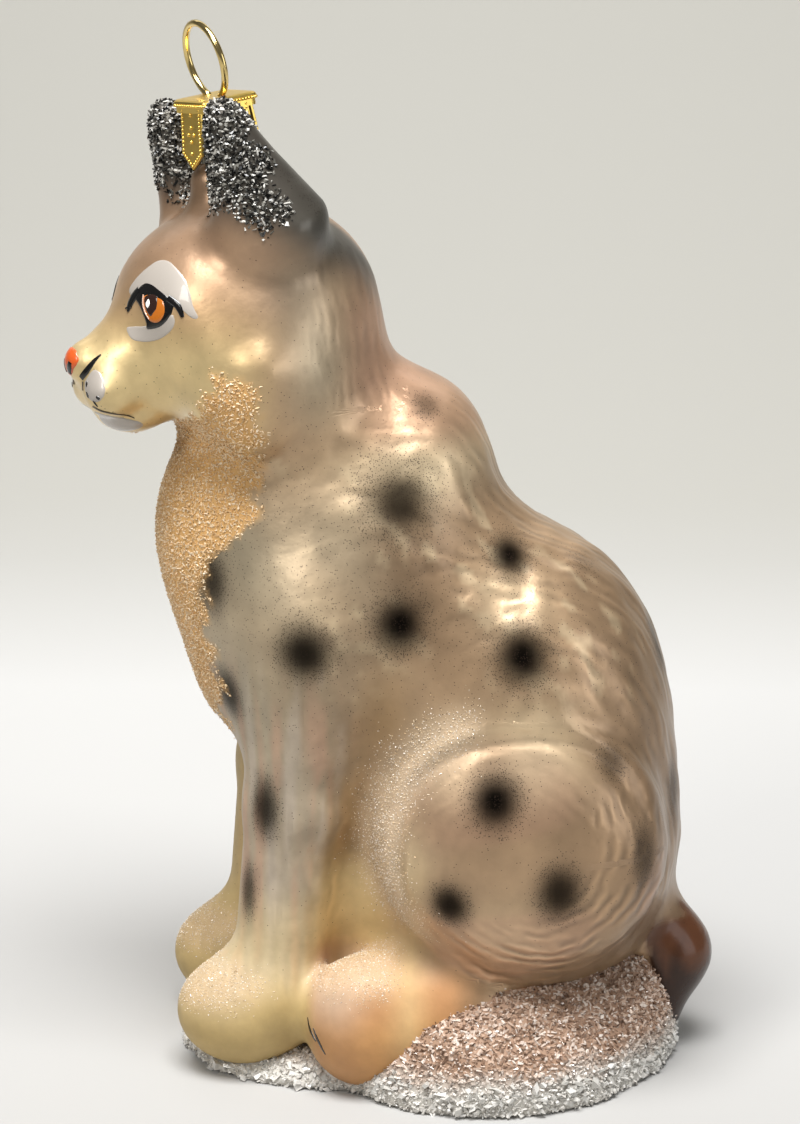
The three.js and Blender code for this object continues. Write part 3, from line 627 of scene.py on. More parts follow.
def stroke(easel, path, widths, layer, steps=40, thick=FILM):
    """A brush stroke along a line, its width going through the given values."""
    pts = np.array(path, float)
    t = np.linspace(0, len(pts) - 1, steps)
    i = np.clip(t.astype(int), 0, len(pts) - 2)
    f = (t - i)[:, None]
    a, b, c, d = (pts[np.clip(i + k - 1, 0, len(pts) - 1)] for k in range(4))
    line = 0.5 * (2 * b + (c - a) * f + (2 * a - 5 * b + 4 * c - d) * f ** 2
                  + (3 * b - a - 3 * c + d) * f ** 3)
    width = np.interp(np.linspace(0, 1, steps), np.linspace(0, 1, len(widths)), widths)
    way = np.gradient(line, axis=0)
    way /= np.linalg.norm(way, axis=1, keepdims=True) + 1e-9
    side = np.stack([way[:, 1], -way[:, 0]], 1)
    across = np.array([-1, -0.8, -0.4, 0, 0.4, 0.8, 1])
    lift = np.array([-0.12, 0.75, 1, 1.1, 1, 0.75, -0.12])
    uv = (line[:, None] + side[:, None] * (across[None, :, None] * width[:, None, None] / 2)).reshape(-1, 2)
    height = layer + np.tile(np.where(lift > 0, lift * thick, lift), steps)
    p = easel.lay(uv, height)
    k = len(across)
    faces = [[r * k + c, r * k + c + 1, (r + 1) * k + c + 1, (r + 1) * k + c]
             for r in range(steps - 1) for c in range(k - 1)]
    return p, [f[::-1] for f in faces] if easel.side < 0 else faces


def painted_piece(name, layers):
    """Films of several enamels joined into one piece."""
    verts, faces, picks, used = [], [], [], []
    for (p, f), mat in layers:
        base = sum(len(v) for v in verts)
        verts.append(p)
        faces += [[i + base for i in face] for face in f]
        if mat not in used:
            used.append(mat)
        picks += [used.index(mat)] * len(f)
    obj = new_object(name, np.concatenate(verts), faces)
    for mat in used:
        obj.data.materials.append(mat)
    obj.data.polygons.foreach_set("material_index", picks)
    return obj


def enamel_paint(name, code, roughness=0.18, metallic=0.0, coat=0.6):
    """Brushed enamel: smooth, even and wet-looking; the pearl one is duller and faintly metallic."""
    return shaded(new_material(name), {"Base Color": four(code), "Roughness": roughness, "Metallic": metallic,
                                       "IOR": 1.5, "Coat Weight": coat})


BLACK = enamel_paint("black_enamel", "0b0908", 0.16)
AMBER = enamel_paint("amber_enamel", "b5651a", 0.2)
UMBER = enamel_paint("umber_enamel", "2a1712", 0.16)
WHITE = enamel_paint("white_enamel", "f2f1ec", 0.2)
PEARL = enamel_paint("pearl_enamel", "aaa299", 0.4, 0.15)
PINKISH = enamel_paint("pale_pink_enamel", "c9a58e", 0.3)
ORANGE = enamel_paint("orange_enamel", "c8541f", 0.3)
SEPIA = enamel_paint("thin_brown_enamel", "4a3d2c", 0.35, coat=0.2)

EYE_AT, EYE_FACING = (7.6, -20.7, 2.7), (0.57, -0.8, 0.18)
brow = [(-5.3, 1.2), (-4.4, 2.7), (-2.7, 4.3), (-1.4, 5.1), (0.2, 5.1), (1.9, 4.2), (3.3, 3.1), (4.2, 1.7),
        (4.9, 0.1), (5.6, -1.1), (4.8, -1.2), (3.4, -0.1), (2.0, 0.3), (0, 0.4), (-2, 0.4), (-3.9, 0.4)]
under = [(-4.4, -2.9), (-3.3, -2.6), (-2.2, -2.5), (-1.1, -2.3), (0.0, -2), (1.0, -1.6), (2.0, -0.9),
         (2.6, -0.8), (2.8, -1.7), (2.2, -2.7), (0.9, -3.6), (-0.5, -4.1), (-1.9, -4.3), (-3.4, -4.1)]
lash = [(-3.7, 0.7), (-3.3, 1.7), (-2.3, 2.4), (-1.1, 2.3), (0.1, 1.8), (1.3, 1.2), (2.3, 0.5),
        (2.3, -0.6), (1.8, -1.6), (0.9, -2.4), (-0.2, -2.8), (-1.2, -2.9), (-1.3, -2.3), (-1.8, -1.4),
        (-2.6, -0.3)]
iris = [(-2.1, 0.9), (-1.0, 1.2), (0.4, 0.9), (1.2, 0.5), (1.5, -0.7), (1.0, -1.7), (0.2, -2.1), (-0.8, -1.9),
        (-1.6, -1.0), (-2.0, 0.1)]
pupil = [(-1.8, 0.8), (-0.8, 1.2), (0.2, 0.9), (0.35, -0.3), (-0.1, -1.0), (-0.5, -1.4), (-1.1, -1.0),
         (-1.65, -0.1)]
lash_ends = [  # the front corner, the fine tip before it and the wing behind the eye: line, widths, steps
    ([(-3.0, 1.5), (-3.8, 0.6), (-4.3, -0.3), (-4.4, -1.1)], [1.0, 1.2, 1.0, 0.25], 24),
    ([(-3.9, -0.4), (-4.5, -0.6), (-4.95, -0.75)], [0.5, 0.3, 0.2], 14),
    ([(1.5, 0.9), (2.6, 0.35), (3.1, -0.2), (3.5, -1.0)], [0.9, 0.9, 0.8, 0.45], 24),
]
gleam = [(-2.0, 1.0), (-1.85, 0.0), (-1.4, -0.9), (-0.8, -1.6)]
catchlight = [(-1.05, 0.62), (-0.72, 0.1), (-1.0, -0.5), (-1.4, 0.0)]
for name, s in (("eye_left", 1), ("eye_right", -1)):
    e = Easel(EYE_AT if s > 0 else (8.3, -20.2, 2.7), EYE_FACING, s)
    layers = [
        (film(e, brow, 0.0, (-0.4, 2.6), 14, 0.05), PEARL),
        (film(e, under, 0.0, (-0.7, -3.1), 12, 0.05), PEARL),
        (film(e, lash, 0.06, (-0.6, 0), 12), BLACK),
        *[(stroke(e, path, widths, 0.07, steps), BLACK) for path, widths, steps in lash_ends],
        (film(e, iris, 0.13, (-0.4, -0.3), 8, 0.04), AMBER),
        (film(e, pupil, 0.17, (-0.8, 0), 8, 0.04), UMBER),
        (stroke(e, gleam, [0.1, 0.22, 0.2, 0.1], 0.2, 20, 0.03), PINKISH),
        (film(e, catchlight, 0.22, None, 6, 0.05, 28), WHITE),
    ]
    eye = painted_piece(f"{name}_enamel", layers)
    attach(eye, "root")
    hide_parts(name)

front = Easel((0, -29.2, -4.4), (0, -1, 0.12))
tip = [(-2.1, 0.6), (-1.2, 1.6), (0, 1.8), (1.2, 1.6), (2.1, 0.6), (1.6, -0.6), (0.6, -1.5), (-0.6, -1.5),
       (-1.6, -0.6)]
layers = [(film(front, tip, 0.0, (0, 0), 12, 0.1), ORANGE)]
for s in (1, -1):
    nostril = [(s * 1.15, 0.2), (s * 0.95, -0.4), (s * 0.6, -1.1)]
    layers.append((stroke(front, nostril, [0.55, 0.85, 0.6], 0.1, 16), BLACK))
nose = painted_piece("nose_enamel", layers)
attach(nose, "root")
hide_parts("nose")

pad = [(-1.9, 0.9), (-1.0, 1.9), (-0.1, 1.7), (0.7, 0.7), (1.1, -0.5), (0.7, -1.5), (-0.4, -2.0),
       (-1.4, -1.6), (-2.2, -0.6), (-2.3, 0.3)]
slash = [(-0.3, 3.5), (-1.0, 2.8), (-1.55, 2.05), (-2.1, 1.35), (-2.7, 0.7)]
jaw = [(-1.4, -2.9), (0.3, -3.2), (1.8, -3.6), (3.2, -4.2), (2.6, -4.9), (0.9, -5.4), (-0.8, -5.2),
       (-2.0, -4.2)]
mouth = [(-0.9, -2.35), (0.1, -2.8), (1.1, -3.0), (1.9, -3.2), (2.6, -3.6)]
whiskers = [  # four dots: place, half height, half width, lean
    (-1.7, 0.1, 0.4, 0.16, 0), (-1.5, -1.1, 0.4, 0.2, 0.15),
    (0.1, -1.3, 0.28, 0.3, 0.1), (-0.4, -2.0, 0.4, 0.12, 0.3),
]
layers = []
for s in (1, -1):
    m = Easel((4.4, -26.4, -6.6), (0.72, -0.68, 0.12), s)
    layers += [
        (film(m, pad, 0.0, (-0.7, 0), 9, 0.04), PEARL),
        (stroke(m, slash, [0.12, 0.5, 0.72, 0.8, 0.75], 0.05, 30), BLACK),
        (film(m, jaw, 0.0, (0.3, -4.3), 9, 0.04), PEARL),
        (stroke(m, [(-2.5, 0.3), (-2.65, -0.7)], [0.2, 0.2], 0.05, 10, 0.03), SEPIA),
        (stroke(m, mouth, [0.16, 0.2, 0.16, 0.12, 0.06], 0.05, 26, 0.03), SEPIA),
    ]
    for u, v, tall, half, lean in whiskers:
        dab = [(u - lean, v + tall), (u + half, v), (u + lean, v - tall), (u - half, v)]
        layers.append((film(m, dab, 0.05, None, 5, 0.05, 24), BLACK))
muzzle = painted_piece("muzzle_paint", layers)
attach(muzzle, "root")

layers = []
for s in (1, -1):   # two thin claw lines on each hind paw
    toe = Easel((18.4, -13.3, 8), (0.78, -0.62, 0), s, 0, (0, 0, 0))
    layers += [
        (stroke(toe, [(-1.3, 1.3), (-0.5, 0.1), (0.7, -0.9)], [0.15, 0.55, 0.2], 0.0, 20, 0.05), BLACK),
        (stroke(toe, [(0.2, 0.6), (1.2, -0.8), (2.05, -2.2)], [0.15, 0.5, 0.15], 0.0, 20, 0.05), BLACK),
    ]
claws = painted_piece("claw_lines", layers)
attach(claws, "root")

# SNOW MOUND
# The foot of the glass, heaped behind the paws and thin under them, then dipped in glue and
# rolled in crushed glass: peach over the tan lacquer in the middle, white and ragged at the rim.


def mound_form(p):
    """Distance to the heap of snow, cut flat at the table."""
    d = ball(p, (0.5, 7, 0), (22.5, 21.5, 13.5))
    d = melt(d, ball(p, (0, 16, 5), (16, 13.5, 12)), 3)
    for s in (1, -1):
        d = melt(d, ball(p, (s * 12.5, 6.5, 1), (11, 15, 12)), 3)
    d = melt(d, ball(p, (0, -13.5, 0), (16.5, 16.5, 4.8)), 4)
    lumps = 0.5 * blur_noise(p, 6.5, 12) + 0.35 * blur_noise(p, 3.1, 13)
    return np.maximum(d - lumps * 0.7 + 0.1, 0.02 - p[..., 2])


m_verts, m_faces = skin_over(mound_form, (-25, -34, -1.1), (25, 35, 20), 0.9)
mound = new_object("snow_mound", m_verts, m_faces)
clear_of_body = body_form(m_verts)
covered = soft(clear_of_body, -0.6, 0.1) * soft(m_verts[:, 2], 0.05, 0.4)
keep(mound, "crust", covered)

# dried glue full of glass dust: matt, white at the rim and peach higher up, with a wandering border
SNOW_LINE, BORDER = 5.5 * MM, 6 * MM
snow = new_material("glue_and_frost")
place = add(snow, "ShaderNodeTexCoord").outputs["Object"]
height = add(snow, "ShaderNodeSeparateXYZ", {}, {"Vector": place}).outputs["Z"]
wander = add(snow, NOISE, {}, {"Vector": place, "Scale": 1 / (6.25 * MM), "Detail": 3.0}).outputs["Fac"]
level = add(snow, MATH, TIMES_ADD, {0: wander, 1: BORDER, 2: height})
higher = add(snow, RANGE, {}, {"Value": level, "From Min": SNOW_LINE, "From Max": 9 * MM})
base = add(snow, MIX, {"data_type": "RGBA"}, {0: higher, 6: four("c9c5bd"), 7: four("a3846d")})
shaded(snow, {"Base Color": base.outputs[2], "Roughness": 0.6})
mound.data.materials.append(snow)
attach(mound, "root")
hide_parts("snow_base")


def new_tree(name, inputs):
    """A tree with geometry in and out and named inputs for its sizes."""
    tree = bpy.data.node_groups.new(name, "GeometryNodeTree")
    for label, kind, value in [("Geometry", "Geometry", None), *inputs]:
        socket = tree.interface.new_socket(label, in_out="INPUT", socket_type=f"NodeSocket{kind}")
        if value is not None:
            socket.default_value = value
    tree.interface.new_socket("Geometry", in_out="OUTPUT", socket_type="NodeSocketGeometry")
    return tree


def grown(name, host, tree, inputs):
    """What a tree makes of a host, as an object with a plain mesh."""
    mod = host.modifiers.new("grown", "NODES")
    mod.node_group = tree
    ids = {i.name: i.identifier for i in tree.interface.items_tree if i.in_out == "INPUT"}
    for key, value in inputs.items():
        mod[ids[key]] = value
    bpy.context.view_layer.update()
    done = host.evaluated_get(bpy.context.evaluated_depsgraph_get())
    mesh = bpy.data.meshes.new_from_object(done)
    host.modifiers.remove(mod)
    mesh.name = name
    obj = bpy.data.objects.new(name, mesh)
    bpy.context.scene.collection.objects.link(obj)
    return obj


# the crust: sharp grains scattered over a surface where its mask says, each with a tone of its own
PER_MM2, RANDOM = 1e6, "FunctionNodeRandomValue"
CRYSTALS = new_tree("crystal_crust", [
    ("Mask", "String", ""), ("Grains per mm2", "Float", 1.0), ("Smallest", "Float", 0.3),
    ("Largest", "Float", 0.8), ("Seed", "Int", 1), ("Finish", "Material", None),
])
start = add(CRYSTALS, "NodeGroupInput").outputs
mask = add(CRYSTALS, "GeometryNodeInputNamedAttribute", {"data_type": "FLOAT"}, {"Name": start["Mask"]})
many = add(CRYSTALS, MATH, TIMES, {0: start["Grains per mm2"], 1: PER_MM2})
thick = add(CRYSTALS, MATH, TIMES, {0: many, 1: mask.outputs["Attribute"]})
points = add(CRYSTALS, "GeometryNodeDistributePointsOnFaces", {},
             {"Mesh": start["Geometry"], "Density": thick, "Seed": start["Seed"]})
grain = add(CRYSTALS, "GeometryNodeMeshCone", {},
            {"Vertices": 4, "Radius Top": 0.25, "Radius Bottom": 0.55, "Depth": 1.0})
centred = add(CRYSTALS, "GeometryNodeTransform", {},
              {"Geometry": grain.outputs["Mesh"], "Translation": (0, 0, -0.45)})
turn = add(CRYSTALS, RANDOM, {"data_type": "FLOAT_VECTOR"}, {0: (0, 0, 0), 1: (6.28, 6.28, 6.28), "Seed": 3})
size = add(CRYSTALS, RANDOM, {"data_type": "FLOAT"}, {2: start["Smallest"], 3: start["Largest"], "Seed": 5})
stretch = add(CRYSTALS, RANDOM, {"data_type": "FLOAT_VECTOR"},
              {0: (0.3, 0.5, 0.8), 1: (0.7, 1.1, 1.5), "Seed": 7})
tone = add(CRYSTALS, RANDOM, {"data_type": "FLOAT"}, {2: 0.0, 3: 1.0, "Seed": 11})
to_metres = add(CRYSTALS, MATH, TIMES, {0: size.outputs[1], 1: MM})
scale = add(CRYSTALS, "ShaderNodeVectorMath", {"operation": "SCALE"}, {0: stretch, "Scale": to_metres})
put = add(CRYSTALS, "GeometryNodeInstanceOnPoints", {},
          {"Points": points.outputs["Points"], "Instance": centred, "Rotation": turn, "Scale": scale})
toned = add(CRYSTALS, "GeometryNodeStoreNamedAttribute", {"data_type": "FLOAT", "domain": "INSTANCE"},
            {"Name": "tone", "Geometry": put, "Value": tone.outputs[1]})
solid = add(CRYSTALS, "GeometryNodeRealizeInstances", {}, {"Geometry": toned})
dress = add(CRYSTALS, "GeometryNodeSetMaterial", {}, {"Geometry": solid, "Material": start["Finish"]})
add(CRYSTALS, "NodeGroupOutput", {}, {"Geometry": dress})

GRAIN_CORNERS = 8
PATCH, MARGIN, TALLEST = 0.0015, 0.01, 0.126   # of the bake map: half a grain's patch, border, height in m


def crust(name, host, mask, per_mm2, smallest, largest, finish, seed):
    """A crust of grains on a host surface, with a bake map unrolled round the body."""
    obj = grown(name, host, CRYSTALS, {"Mask": mask, "Grains per mm2": per_mm2, "Smallest": smallest,
                                       "Largest": largest, "Seed": seed, "Finish": finish})
    mesh = obj.data
    mesh.polygons.foreach_set("use_smooth", [False] * len(mesh.polygons))
    co = np.empty(len(mesh.vertices) * 3)
    mesh.vertices.foreach_get("co", co)
    co = co.reshape(-1, 3)
    middle = co.reshape(-1, GRAIN_CORNERS, 3).mean(1).repeat(GRAIN_CORNERS, 0)
    spread = (co - middle) / (np.abs(co - middle).max() + 1e-9) * PATCH
    around = np.arctan2(middle[:, 0], -middle[:, 1]) / (2 * math.pi) + 0.5
    uv = np.stack([around, middle[:, 2] / TALLEST], 1) * (1 - 2 * MARGIN) + MARGIN + spread[:, [0, 2]]
    layer = mesh.uv_layers.new(name="OFBake")
    loops = np.empty(len(mesh.loops), int)
    mesh.loops.foreach_get("vertex_index", loops)
    layer.data.foreach_set("uv", uv[loops].ravel())
    return obj


def crystal_finish(name, codes, roughness=0.08, clear=0.25, band=None):
    """Crushed glass: faintly clear, bright where a face turns to the light, each grain its own tone."""
    mat = new_material(name)
    tone = add(mat, "ShaderNodeAttribute", {"attribute_name": "tone"}).outputs["Fac"]
    ramps = []
    for shades in codes:
        ramp = add(mat, "ShaderNodeValToRGB", {}, {"Fac": tone})
        while len(ramp.color_ramp.elements) < len(shades):
            ramp.color_ramp.elements.new(0.5)
        for k, code in enumerate(shades):
            ramp.color_ramp.elements[k].position = k / (len(shades) - 1)
            ramp.color_ramp.elements[k].color = four(code)
        ramps.append(ramp.outputs["Color"])
    color = ramps[0]
    if band:   # a second set of shades takes over between two heights
        place = add(mat, "ShaderNodeTexCoord").outputs["Object"]
        height = add(mat, "ShaderNodeSeparateXYZ", {}, {"Vector": place}).outputs["Z"]
        wander = add(mat, NOISE, {}, {"Vector": place, "Scale": 1 / (6.67 * MM), "Detail": 3.0})
        level = add(mat, MATH, TIMES_ADD, {0: wander.outputs["Fac"], 1: BORDER, 2: height})
        higher = add(mat, RANGE, {}, {"Value": level, "From Min": band[0], "From Max": band[1]})
        color = add(mat, MIX, {"data_type": "RGBA"}, {0: higher, 6: ramps[0], 7: ramps[1]}).outputs[2]
    return shaded(mat, {"Base Color": color, "Roughness": roughness, "IOR": 1.52,
                        "Transmission Weight": clear})


white_shades, peach_shades = ["b9b5ae", "dcd8d1", "f3f0ea"], ["6f5646", "b0927c", "d4bba8", "efe4da"]
frost = crystal_finish("crushed_glass_snow", [white_shades, peach_shades], 0.12, 0.1, (SNOW_LINE, 9.5 * MM))
rim_band = soft(4.5 - m_verts[:, 2], 0, 2) * soft(m_verts[:, 2], 0.3, 0.8)
rim_band = rim_band * soft(blur_noise(m_verts, 5, 27), 0.25, 0.7)
keep(mound, "rim", covered * rim_band)
snow_grains = crust("snow_crystals", mound, "crust", 9.0, 0.22, 0.74, frost, 3)
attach(snow_grains, "root")
flakes = crystal_finish("coarse_white_glass_flakes", [["c9c6bf", "e6e3dd", "fbf9f4"]], 0.15, 0.25)
fringe = crust("rim_flakes", mound, "rim", 2.4, 0.6, 1.35, flakes, 13)
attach(fringe, "root")

# EAR, BIB AND PAW GLITTER
# Coarse silver and black grains glued over the front of both ears, fine peach grains down the
# throat and breast, and a thin dusting on the paws and along the front edge of each thigh.
shades = ["050505", "10100f", "2a2926", "5a5851", "b4b1a9", "f6f4ee"]
steel = crystal_finish("silver_and_black_glass_grains", [shades], 0.1, 0.15)
ear_grains = crust("ear_crystals", skin, "ear_mask", 14.0, 0.24, 0.6, steel, 5)
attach(ear_grains, "root")
peach = crystal_finish("fine_peach_glass_grains", [["dcb988", "e8cba0", "f5e4c8"]], 0.42, 0.1)
bib_grains = crust("bib_crystals", skin, "bib_mask", 12.5, 0.15, 0.4, peach, 7)
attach(bib_grains, "root")
straw = crystal_finish("pale_yellow_glass_grains", [["dcbf96", "f1e0c2", "fffaf2"]], 0.14, 0.2)
dust = crust("paw_dust", skin, "dust_mask", 20.0, 0.08, 0.2, straw, 9)
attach(dust, "root")

# GLASS NECK TUBE
# The end of the blowing tube, cut square between the ears; only a strip of it shows under the cap.
CAP_TOP, CAP_CENTRE, CAP_LEAN, CAP_TURN = 25.0, -11.3, 8, 15
CAP_SIDE, CAP_SHEET, CAP_SKIRT = 7.0, 0.3, 1.5
TUBE = [(2.5, -12.4), (2.55, -11), (2.5, -2.2), (2.3, -1.95)]   # radius and height under the cap's top


def on_cap(p):
    """Cap frame points, its top's middle at the origin, to the object's frame."""
    q = turned(np.asarray(p, float), CAP_TURN, 0, 1)
    q = turned(q, CAP_LEAN, 1, 2) + (0, CAP_CENTRE, CAP_TOP)
    return turned(q, HEAD_TURN, 0, 1) + HEAD_PIVOT


def lathe(profile, count=48):
    """A round piece from radius and height pairs, closed on its axis."""
    a = np.arange(count) * 2 * math.pi / count
    rings = [np.stack([r * np.cos(a), r * np.sin(a), np.full(count, z)], 1) for r, z in profile]
    verts = np.concatenate(rings + [[[0, 0, profile[0][1]]], [[0, 0, profile[-1][1]]]])
    faces = []
    for k in range(len(profile) - 1):
        for i in range(count):
            j = (i + 1) % count
            faces.append([k * count + i, k * count + j, (k + 1) * count + j, (k + 1) * count + i])
    low, high = len(verts) - 2, len(verts) - 1
    last = (len(profile) - 1) * count
    for i in range(count):
        j = (i + 1) % count
        faces.append([low, j, i])
        faces.append([high, last + i, last + j])
    return verts, faces


t_verts, t_faces = lathe(TUBE)
tube = new_object("blowing_tube", on_cap(t_verts), t_faces)
# bare blown glass over silver: a smooth, dull grey-gold mirror
bare = shaded(new_material("silvered_glass_tube"), {"Base Color": four("8c8470"), "Roughness": 0.25,
                                                    "Metallic": 0.5, "IOR": 1.5})
tube.data.materials.append(bare)
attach(tube, "root")
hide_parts("glass_tube")

# CAP
# Gold-lacquered sheet metal stamped into a square cup with a serrated rim and four pointed tabs,
# each with a beaded border and a few raised dots. The tabs spring against the glass neck.
TAB_WIDTH, TAB_LENGTH, TAB_POINT, TAB_FLARE = 4.3, 6.4, 1.7, 7
BEAD, BEAD_GAP = 0.17, 0.42


def rounded_square(half, radius, count=6):
    """A square with round corners, from its half width, in four runs of count + 1 points."""
    out = []
    for k in range(4):
        way_x, way_y = ((1, 1), (-1, 1), (-1, -1), (1, -1))[k]
        for i in range(count + 1):
            a = math.pi / 2 * (k + i / count)
            out.append((way_x * (half - radius) + radius * math.cos(a),
                        way_y * (half - radius) + radius * math.sin(a)))
    return np.array(out)


def skirt(levels):
    """Rings of a rounded square from the middle out and down: half width, corner, height."""
    rings = [np.c_[rounded_square(h, r), np.full(28, z)] for h, r, z in levels]
    verts = np.concatenate([[[0, 0, levels[0][2]]]] + rings + [[[0, 0, levels[-1][2]]]])
    faces = [[0, 1 + i, 1 + (i + 1) % 28] for i in range(28)]
    for k in range(len(rings) - 1):
        a, b = 1 + k * 28, 1 + (k + 1) * 28
        faces += [[a + i, b + i, b + (i + 1) % 28, a + (i + 1) % 28] for i in range(28)]
    last = 1 + (len(rings) - 1) * 28
    faces += [[len(verts) - 1, last + (i + 1) % 28, last + i] for i in range(28)]
    return verts, faces


def slab(outline, thick):
    """A flat tab from an outline in X and Z, given thickness along Y."""
    o = np.array(outline, float)
    n = len(o)
    ins = o + (o.mean(0) - o) / np.linalg.norm(o.mean(0) - o, axis=1, keepdims=True) * 0.09
    verts = np.concatenate([np.c_[ins[:, 0], np.zeros(n), ins[:, 1]],
                            np.c_[o[:, 0], np.full(n, 0.07), o[:, 1]],
                            np.c_[o[:, 0], np.full(n, thick), o[:, 1]]])
    faces = [list(range(n))]
    for k in (0, n):
        faces += [[k + i, k + n + i, k + n + (i + 1) % n, k + (i + 1) % n] for i in range(n)]
    faces.append([2 * n + i for i in range(n)][::-1])
    return verts, faces


cap_parts, bead_spots = [], []
h = CAP_SIDE / 2
cap_parts.append(skirt([(h - 0.6, 0.5, 0), (h - 0.12, 0.75, -0.06), (h + 0.12, 0.95, -0.2),
                        (h + 0.2, 1, -0.42), (h + 0.12, 0.95, -0.62), (h, 0.85, -0.72), (h, 0.85, -CAP_SKIRT),
                        (h - CAP_SHEET, 0.6, -CAP_SKIRT), (h - CAP_SHEET, 0.6, -0.5)]))
w, top, low, tip = TAB_WIDTH / 2, 0.9, TAB_POINT - TAB_LENGTH, -TAB_LENGTH
halfway = (low + tip) / 2
outline = [(-w, top), (w, top), (w, low), (w * 0.5, halfway), (0, tip), (-w * 0.5, halfway), (-w, low)]
inset = 0.32
border = [(-w + inset, 0.2), (-w + inset, low + 0.1), (0, tip + inset * 1.3), (w - inset, low + 0.1),
          (w - inset, 0.2)]
line = []
for a, b in zip(border, border[1:]):
    steps = max(int(math.dist(a, b) / BEAD_GAP), 2)
    line += [(a[0] + (b[0] - a[0]) * t / steps, a[1] + (b[1] - a[1]) * t / steps) for t in range(steps)]
line.append(border[-1])
dots = [(0, -0.3), (0, -1.7), (-0.55, -2.5), (0.55, -2.5), (0, -3.3), (0, -4.6)]
for k in range(4):
    def hang(p):
        q = turned(np.asarray(p, float), TAB_FLARE * -1, 1, 2)
        return turned(q + (0, -h + 0.02, -CAP_SKIRT + 0.1), 90 * k, 0, 1)
    v, f = slab(outline, CAP_SHEET)
    cap_parts.append((hang(v), f))
    bead_spots += [(p, BEAD) for p in hang([(x, 0.02, z) for x, z in line])]
    bead_spots += [(p, BEAD * 1.35) for p in hang([(x, 0.02, z) for x, z in dots])]
rim_line = rounded_square(h + 0.16, 1, 6)
for i in range(len(rim_line)):
    a, b = rim_line[i], rim_line[(i + 1) % len(rim_line)]
    steps = max(int(np.linalg.norm(b - a) / 0.4), 1)
    bead_spots += [(np.array([*(a + (b - a) * t / steps), -0.66]), BEAD) for t in range(steps)]

# gold-lacquered sheet: a bright warm mirror, dulled in small patches by handling
brass = new_material("gold_lacquered_sheet")
place = add(brass, "ShaderNodeTexCoord").outputs["Object"]
worn = add(brass, NOISE, {}, {"Vector": place, "Scale": 1 / (1.11 * MM), "Detail": 3.0}).outputs["Fac"]
rough = add(brass, RANGE, {}, {"Value": worn, "To Min": 0.22, "To Max": 0.42})
shaded(brass, {"Base Color": four("f0cd6c"), "Metallic": 1.0, "Roughness": rough})

# a round bead on every point of a cloud, at the point's own size
BEADS = new_tree("stamped_beads", [("Finish", "Material", None)])
start = add(BEADS, "NodeGroupInput").outputs
bead = add(BEADS, "GeometryNodeMeshIcoSphere", {}, {"Radius": 1.0, "Subdivisions": 2})
size = add(BEADS, "GeometryNodeInputNamedAttribute", {"data_type": "FLOAT"}, {"Name": "size"})
put = add(BEADS, "GeometryNodeInstanceOnPoints", {},
          {"Points": start["Geometry"], "Instance": bead, "Scale": size.outputs["Attribute"]})
solid = add(BEADS, "GeometryNodeRealizeInstances", {}, {"Geometry": put})
round_off = add(BEADS, "GeometryNodeSetShadeSmooth", {}, {"Geometry": solid})
dress = add(BEADS, "GeometryNodeSetMaterial", {}, {"Geometry": round_off, "Material": start["Finish"]})
add(BEADS, "NodeGroupOutput", {}, {"Geometry": dress})
cloud = new_object("bead_places", on_cap([p for p, _ in bead_spots]), [])
keep(cloud, "size", [r * MM for _, r in bead_spots])
beads = grown("cap_beads", cloud, BEADS, {"Finish": brass})
bpy.data.objects.remove(cloud)
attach(beads, "root")

all_verts, all_faces = [], []
for v, f in cap_parts:
    base_at = sum(len(x) for x in all_verts)
    all_verts.append(v)
    all_faces += [[i + base_at for i in face] for face in f]
cap = new_object("cap_sheet", on_cap(np.concatenate(all_verts)), all_faces, smooth=False)
cap.data.materials.append(brass)
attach(cap, "root")
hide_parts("cap")

# HANGING LOOP
# One length of springy gold wire bent into a round eye, its two legs dropped through the cap's top.
WIRE, LOOP_WIDTH, LOOP_LEG, LOOP_TURN, LOOP_LEAN = 0.8, 8.6, 3.2, -5, 7
r = LOOP_WIDTH / 2
opening = math.asin(LOOP_LEG / 2 / r)
rise = r * math.cos(opening)
track = [(-LOOP_LEG / 2, z) for z in (-1.1, -0.5)]
for a in np.linspace(-math.pi / 2 - opening, -2.5 * math.pi + opening, 72):
    track.append((r * math.cos(a), rise + r * math.sin(a)))
track += [(LOOP_LEG / 2, z) for z in (-0.5, -1.1)]
track = np.array([(x, 0, z) for x, z in track])
way = np.gradient(track, axis=0)
way /= np.linalg.norm(way, axis=1, keepdims=True)
sideways = np.cross(way, (0, 1, 0))
a = np.arange(14) * 2 * math.pi / 14
ring = np.cos(a)[None, :, None] * sideways[:, None] + np.sin(a)[None, :, None] * np.array([0, 1, 0])
w_verts = (track[:, None] + WIRE / 2 * ring).reshape(-1, 3)
k = len(a)
w_faces = [[i * k + j, i * k + (j + 1) % k, (i + 1) * k + (j + 1) % k, (i + 1) * k + j]
           for i in range(len(track) - 1) for j in range(k)]
w_faces += [list(range(k))[::-1], [len(w_verts) - k + j for j in range(k)]]
w_verts = turned(turned(w_verts, LOOP_LEAN, 1, 2), LOOP_TURN, 0, 1)
loop = new_object("hanging_wire", on_cap(w_verts), w_faces)
# drawn and gold-plated wire: smoother and paler than the sheet, with sharp highlights
wire = shaded(new_material("gold_wire"), {"Base Color": four("ead08c"), "Metallic": 1.0, "Roughness": 0.16})
loop.data.materials.append(wire)
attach(loop, "root")
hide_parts("hanger_loop")

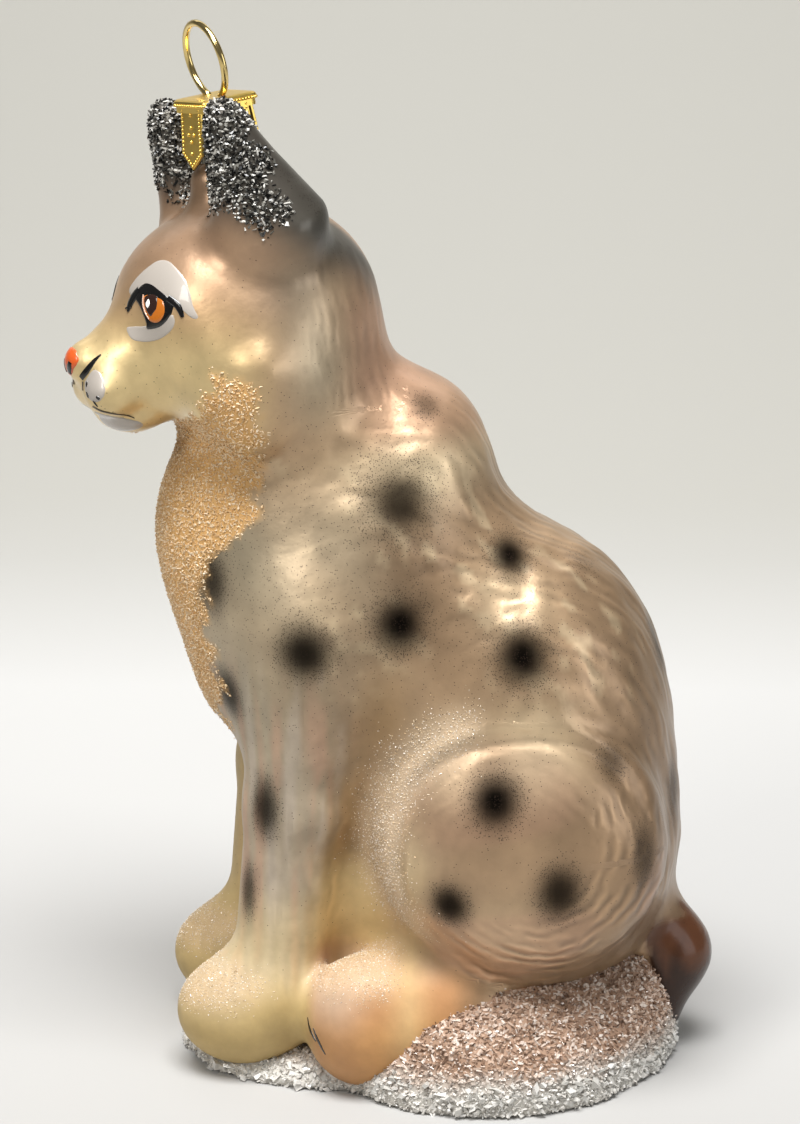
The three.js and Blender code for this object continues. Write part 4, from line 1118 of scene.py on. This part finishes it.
# FLOOR, LIGHT AND CAMERA
# A plain pale sweep of paper, near white in front and greyer behind, under large soft lights.
BEND, BEND_START = 350, -250   # the sweep's radius and where it leaves the table
sweep_line = [(900, 0)]
for t in np.linspace(0, math.pi / 2, 16):
    sweep_line.append((BEND_START - BEND * math.sin(t), BEND - BEND * math.cos(t)))
sweep_line.append((BEND_START - BEND, 1400))
f_verts = [(x, y, z) for x, z in sweep_line for y in (-1500, 1500)]
f_faces = [[2 * i, 2 * i + 2, 2 * i + 3, 2 * i + 1] for i in range(len(sweep_line) - 1)]
floor = new_object("floor", f_verts, [f[::-1] for f in f_faces])
# matt background paper, its tone shaded from front to back as the studio's light falls off
paper = new_material("pale_paper")
place = add(paper, "ShaderNodeTexCoord").outputs["Object"]
along = add(paper, "ShaderNodeSeparateXYZ", {}, {"Vector": place}).outputs["X"]
far = add(paper, RANGE, {}, {"Value": along, "From Min": -0.6, "From Max": 0.12})
tone = add(paper, "ShaderNodeValToRGB", {}, {"Fac": far})
stops = [(0.0, "c1bfb7"), (0.42, "c8c6bf"), (0.62, "d3d2d0"), (0.8, "b9b8b6"), (1.0, "a3a29f")]
for k, (at, code) in enumerate(stops):
    if k > 1:
        tone.color_ramp.elements.new(at)
    tone.color_ramp.elements[k].position = at
    tone.color_ramp.elements[k].color = four(code)
shaded(paper, {"Base Color": tone, "Roughness": 0.9})
floor.data.materials.append(paper)

world = bpy.data.worlds.new("studio")
world.use_nodes = True
world.node_tree.nodes["Background"].inputs[0].default_value = (0.82, 0.84, 0.86, 1)
world.node_tree.nodes["Background"].inputs[1].default_value = 0.16
bpy.context.scene.world = world


def softbox(name, at, aim, size, watts, tint=(1, 1, 1)):
    """A large soft light, placed and aimed in millimetres."""
    light = bpy.data.lights.new(name, "AREA")
    light.shape, light.size, light.size_y = "RECTANGLE", size[0] * MM, size[1] * MM
    light.energy, light.color = watts, tint
    obj = bpy.data.objects.new(name, light)
    bpy.context.scene.collection.objects.link(obj)
    obj.location = np.array(at) * MM
    obj.rotation_euler = (Vector(aim) - Vector(at)).to_track_quat("-Z", "Y").to_euler()


softbox("key_window", (430, -320, 400), (0, 0, 60), (190, 190), 1.15, (1, 0.97, 0.92))
softbox("top_panel", (150, -20, 480), (0, 0, 60), (300, 200), 4.0)
softbox("fill_right", (260, 520, 160), (0, 0, 50), (300, 300), 0.6, (0.95, 0.97, 1))
softbox("back_wash", (-420, 0, 520), (-560, 0, 120), (900, 300), 1.2)

SENSOR, CAMERA_FOCAL = 36, 91.9
cam = bpy.data.cameras.new("camera")
cam.sensor_width, cam.lens, cam.clip_start = SENSOR, CAMERA_FOCAL, 0.01
camera = bpy.data.objects.new("camera", cam)
bpy.context.scene.collection.objects.link(camera)
camera.location = Vector((329.8, 7.82, 140.0)) * MM
towards = Vector((0, -3.7, 60)) * MM - camera.location
camera.rotation_euler = towards.to_track_quat("-Z", "Y").to_euler()
bpy.context.scene.camera = camera
bpy.context.scene.view_settings.view_transform = "Standard"
bpy.context.scene.view_settings.look = "None"
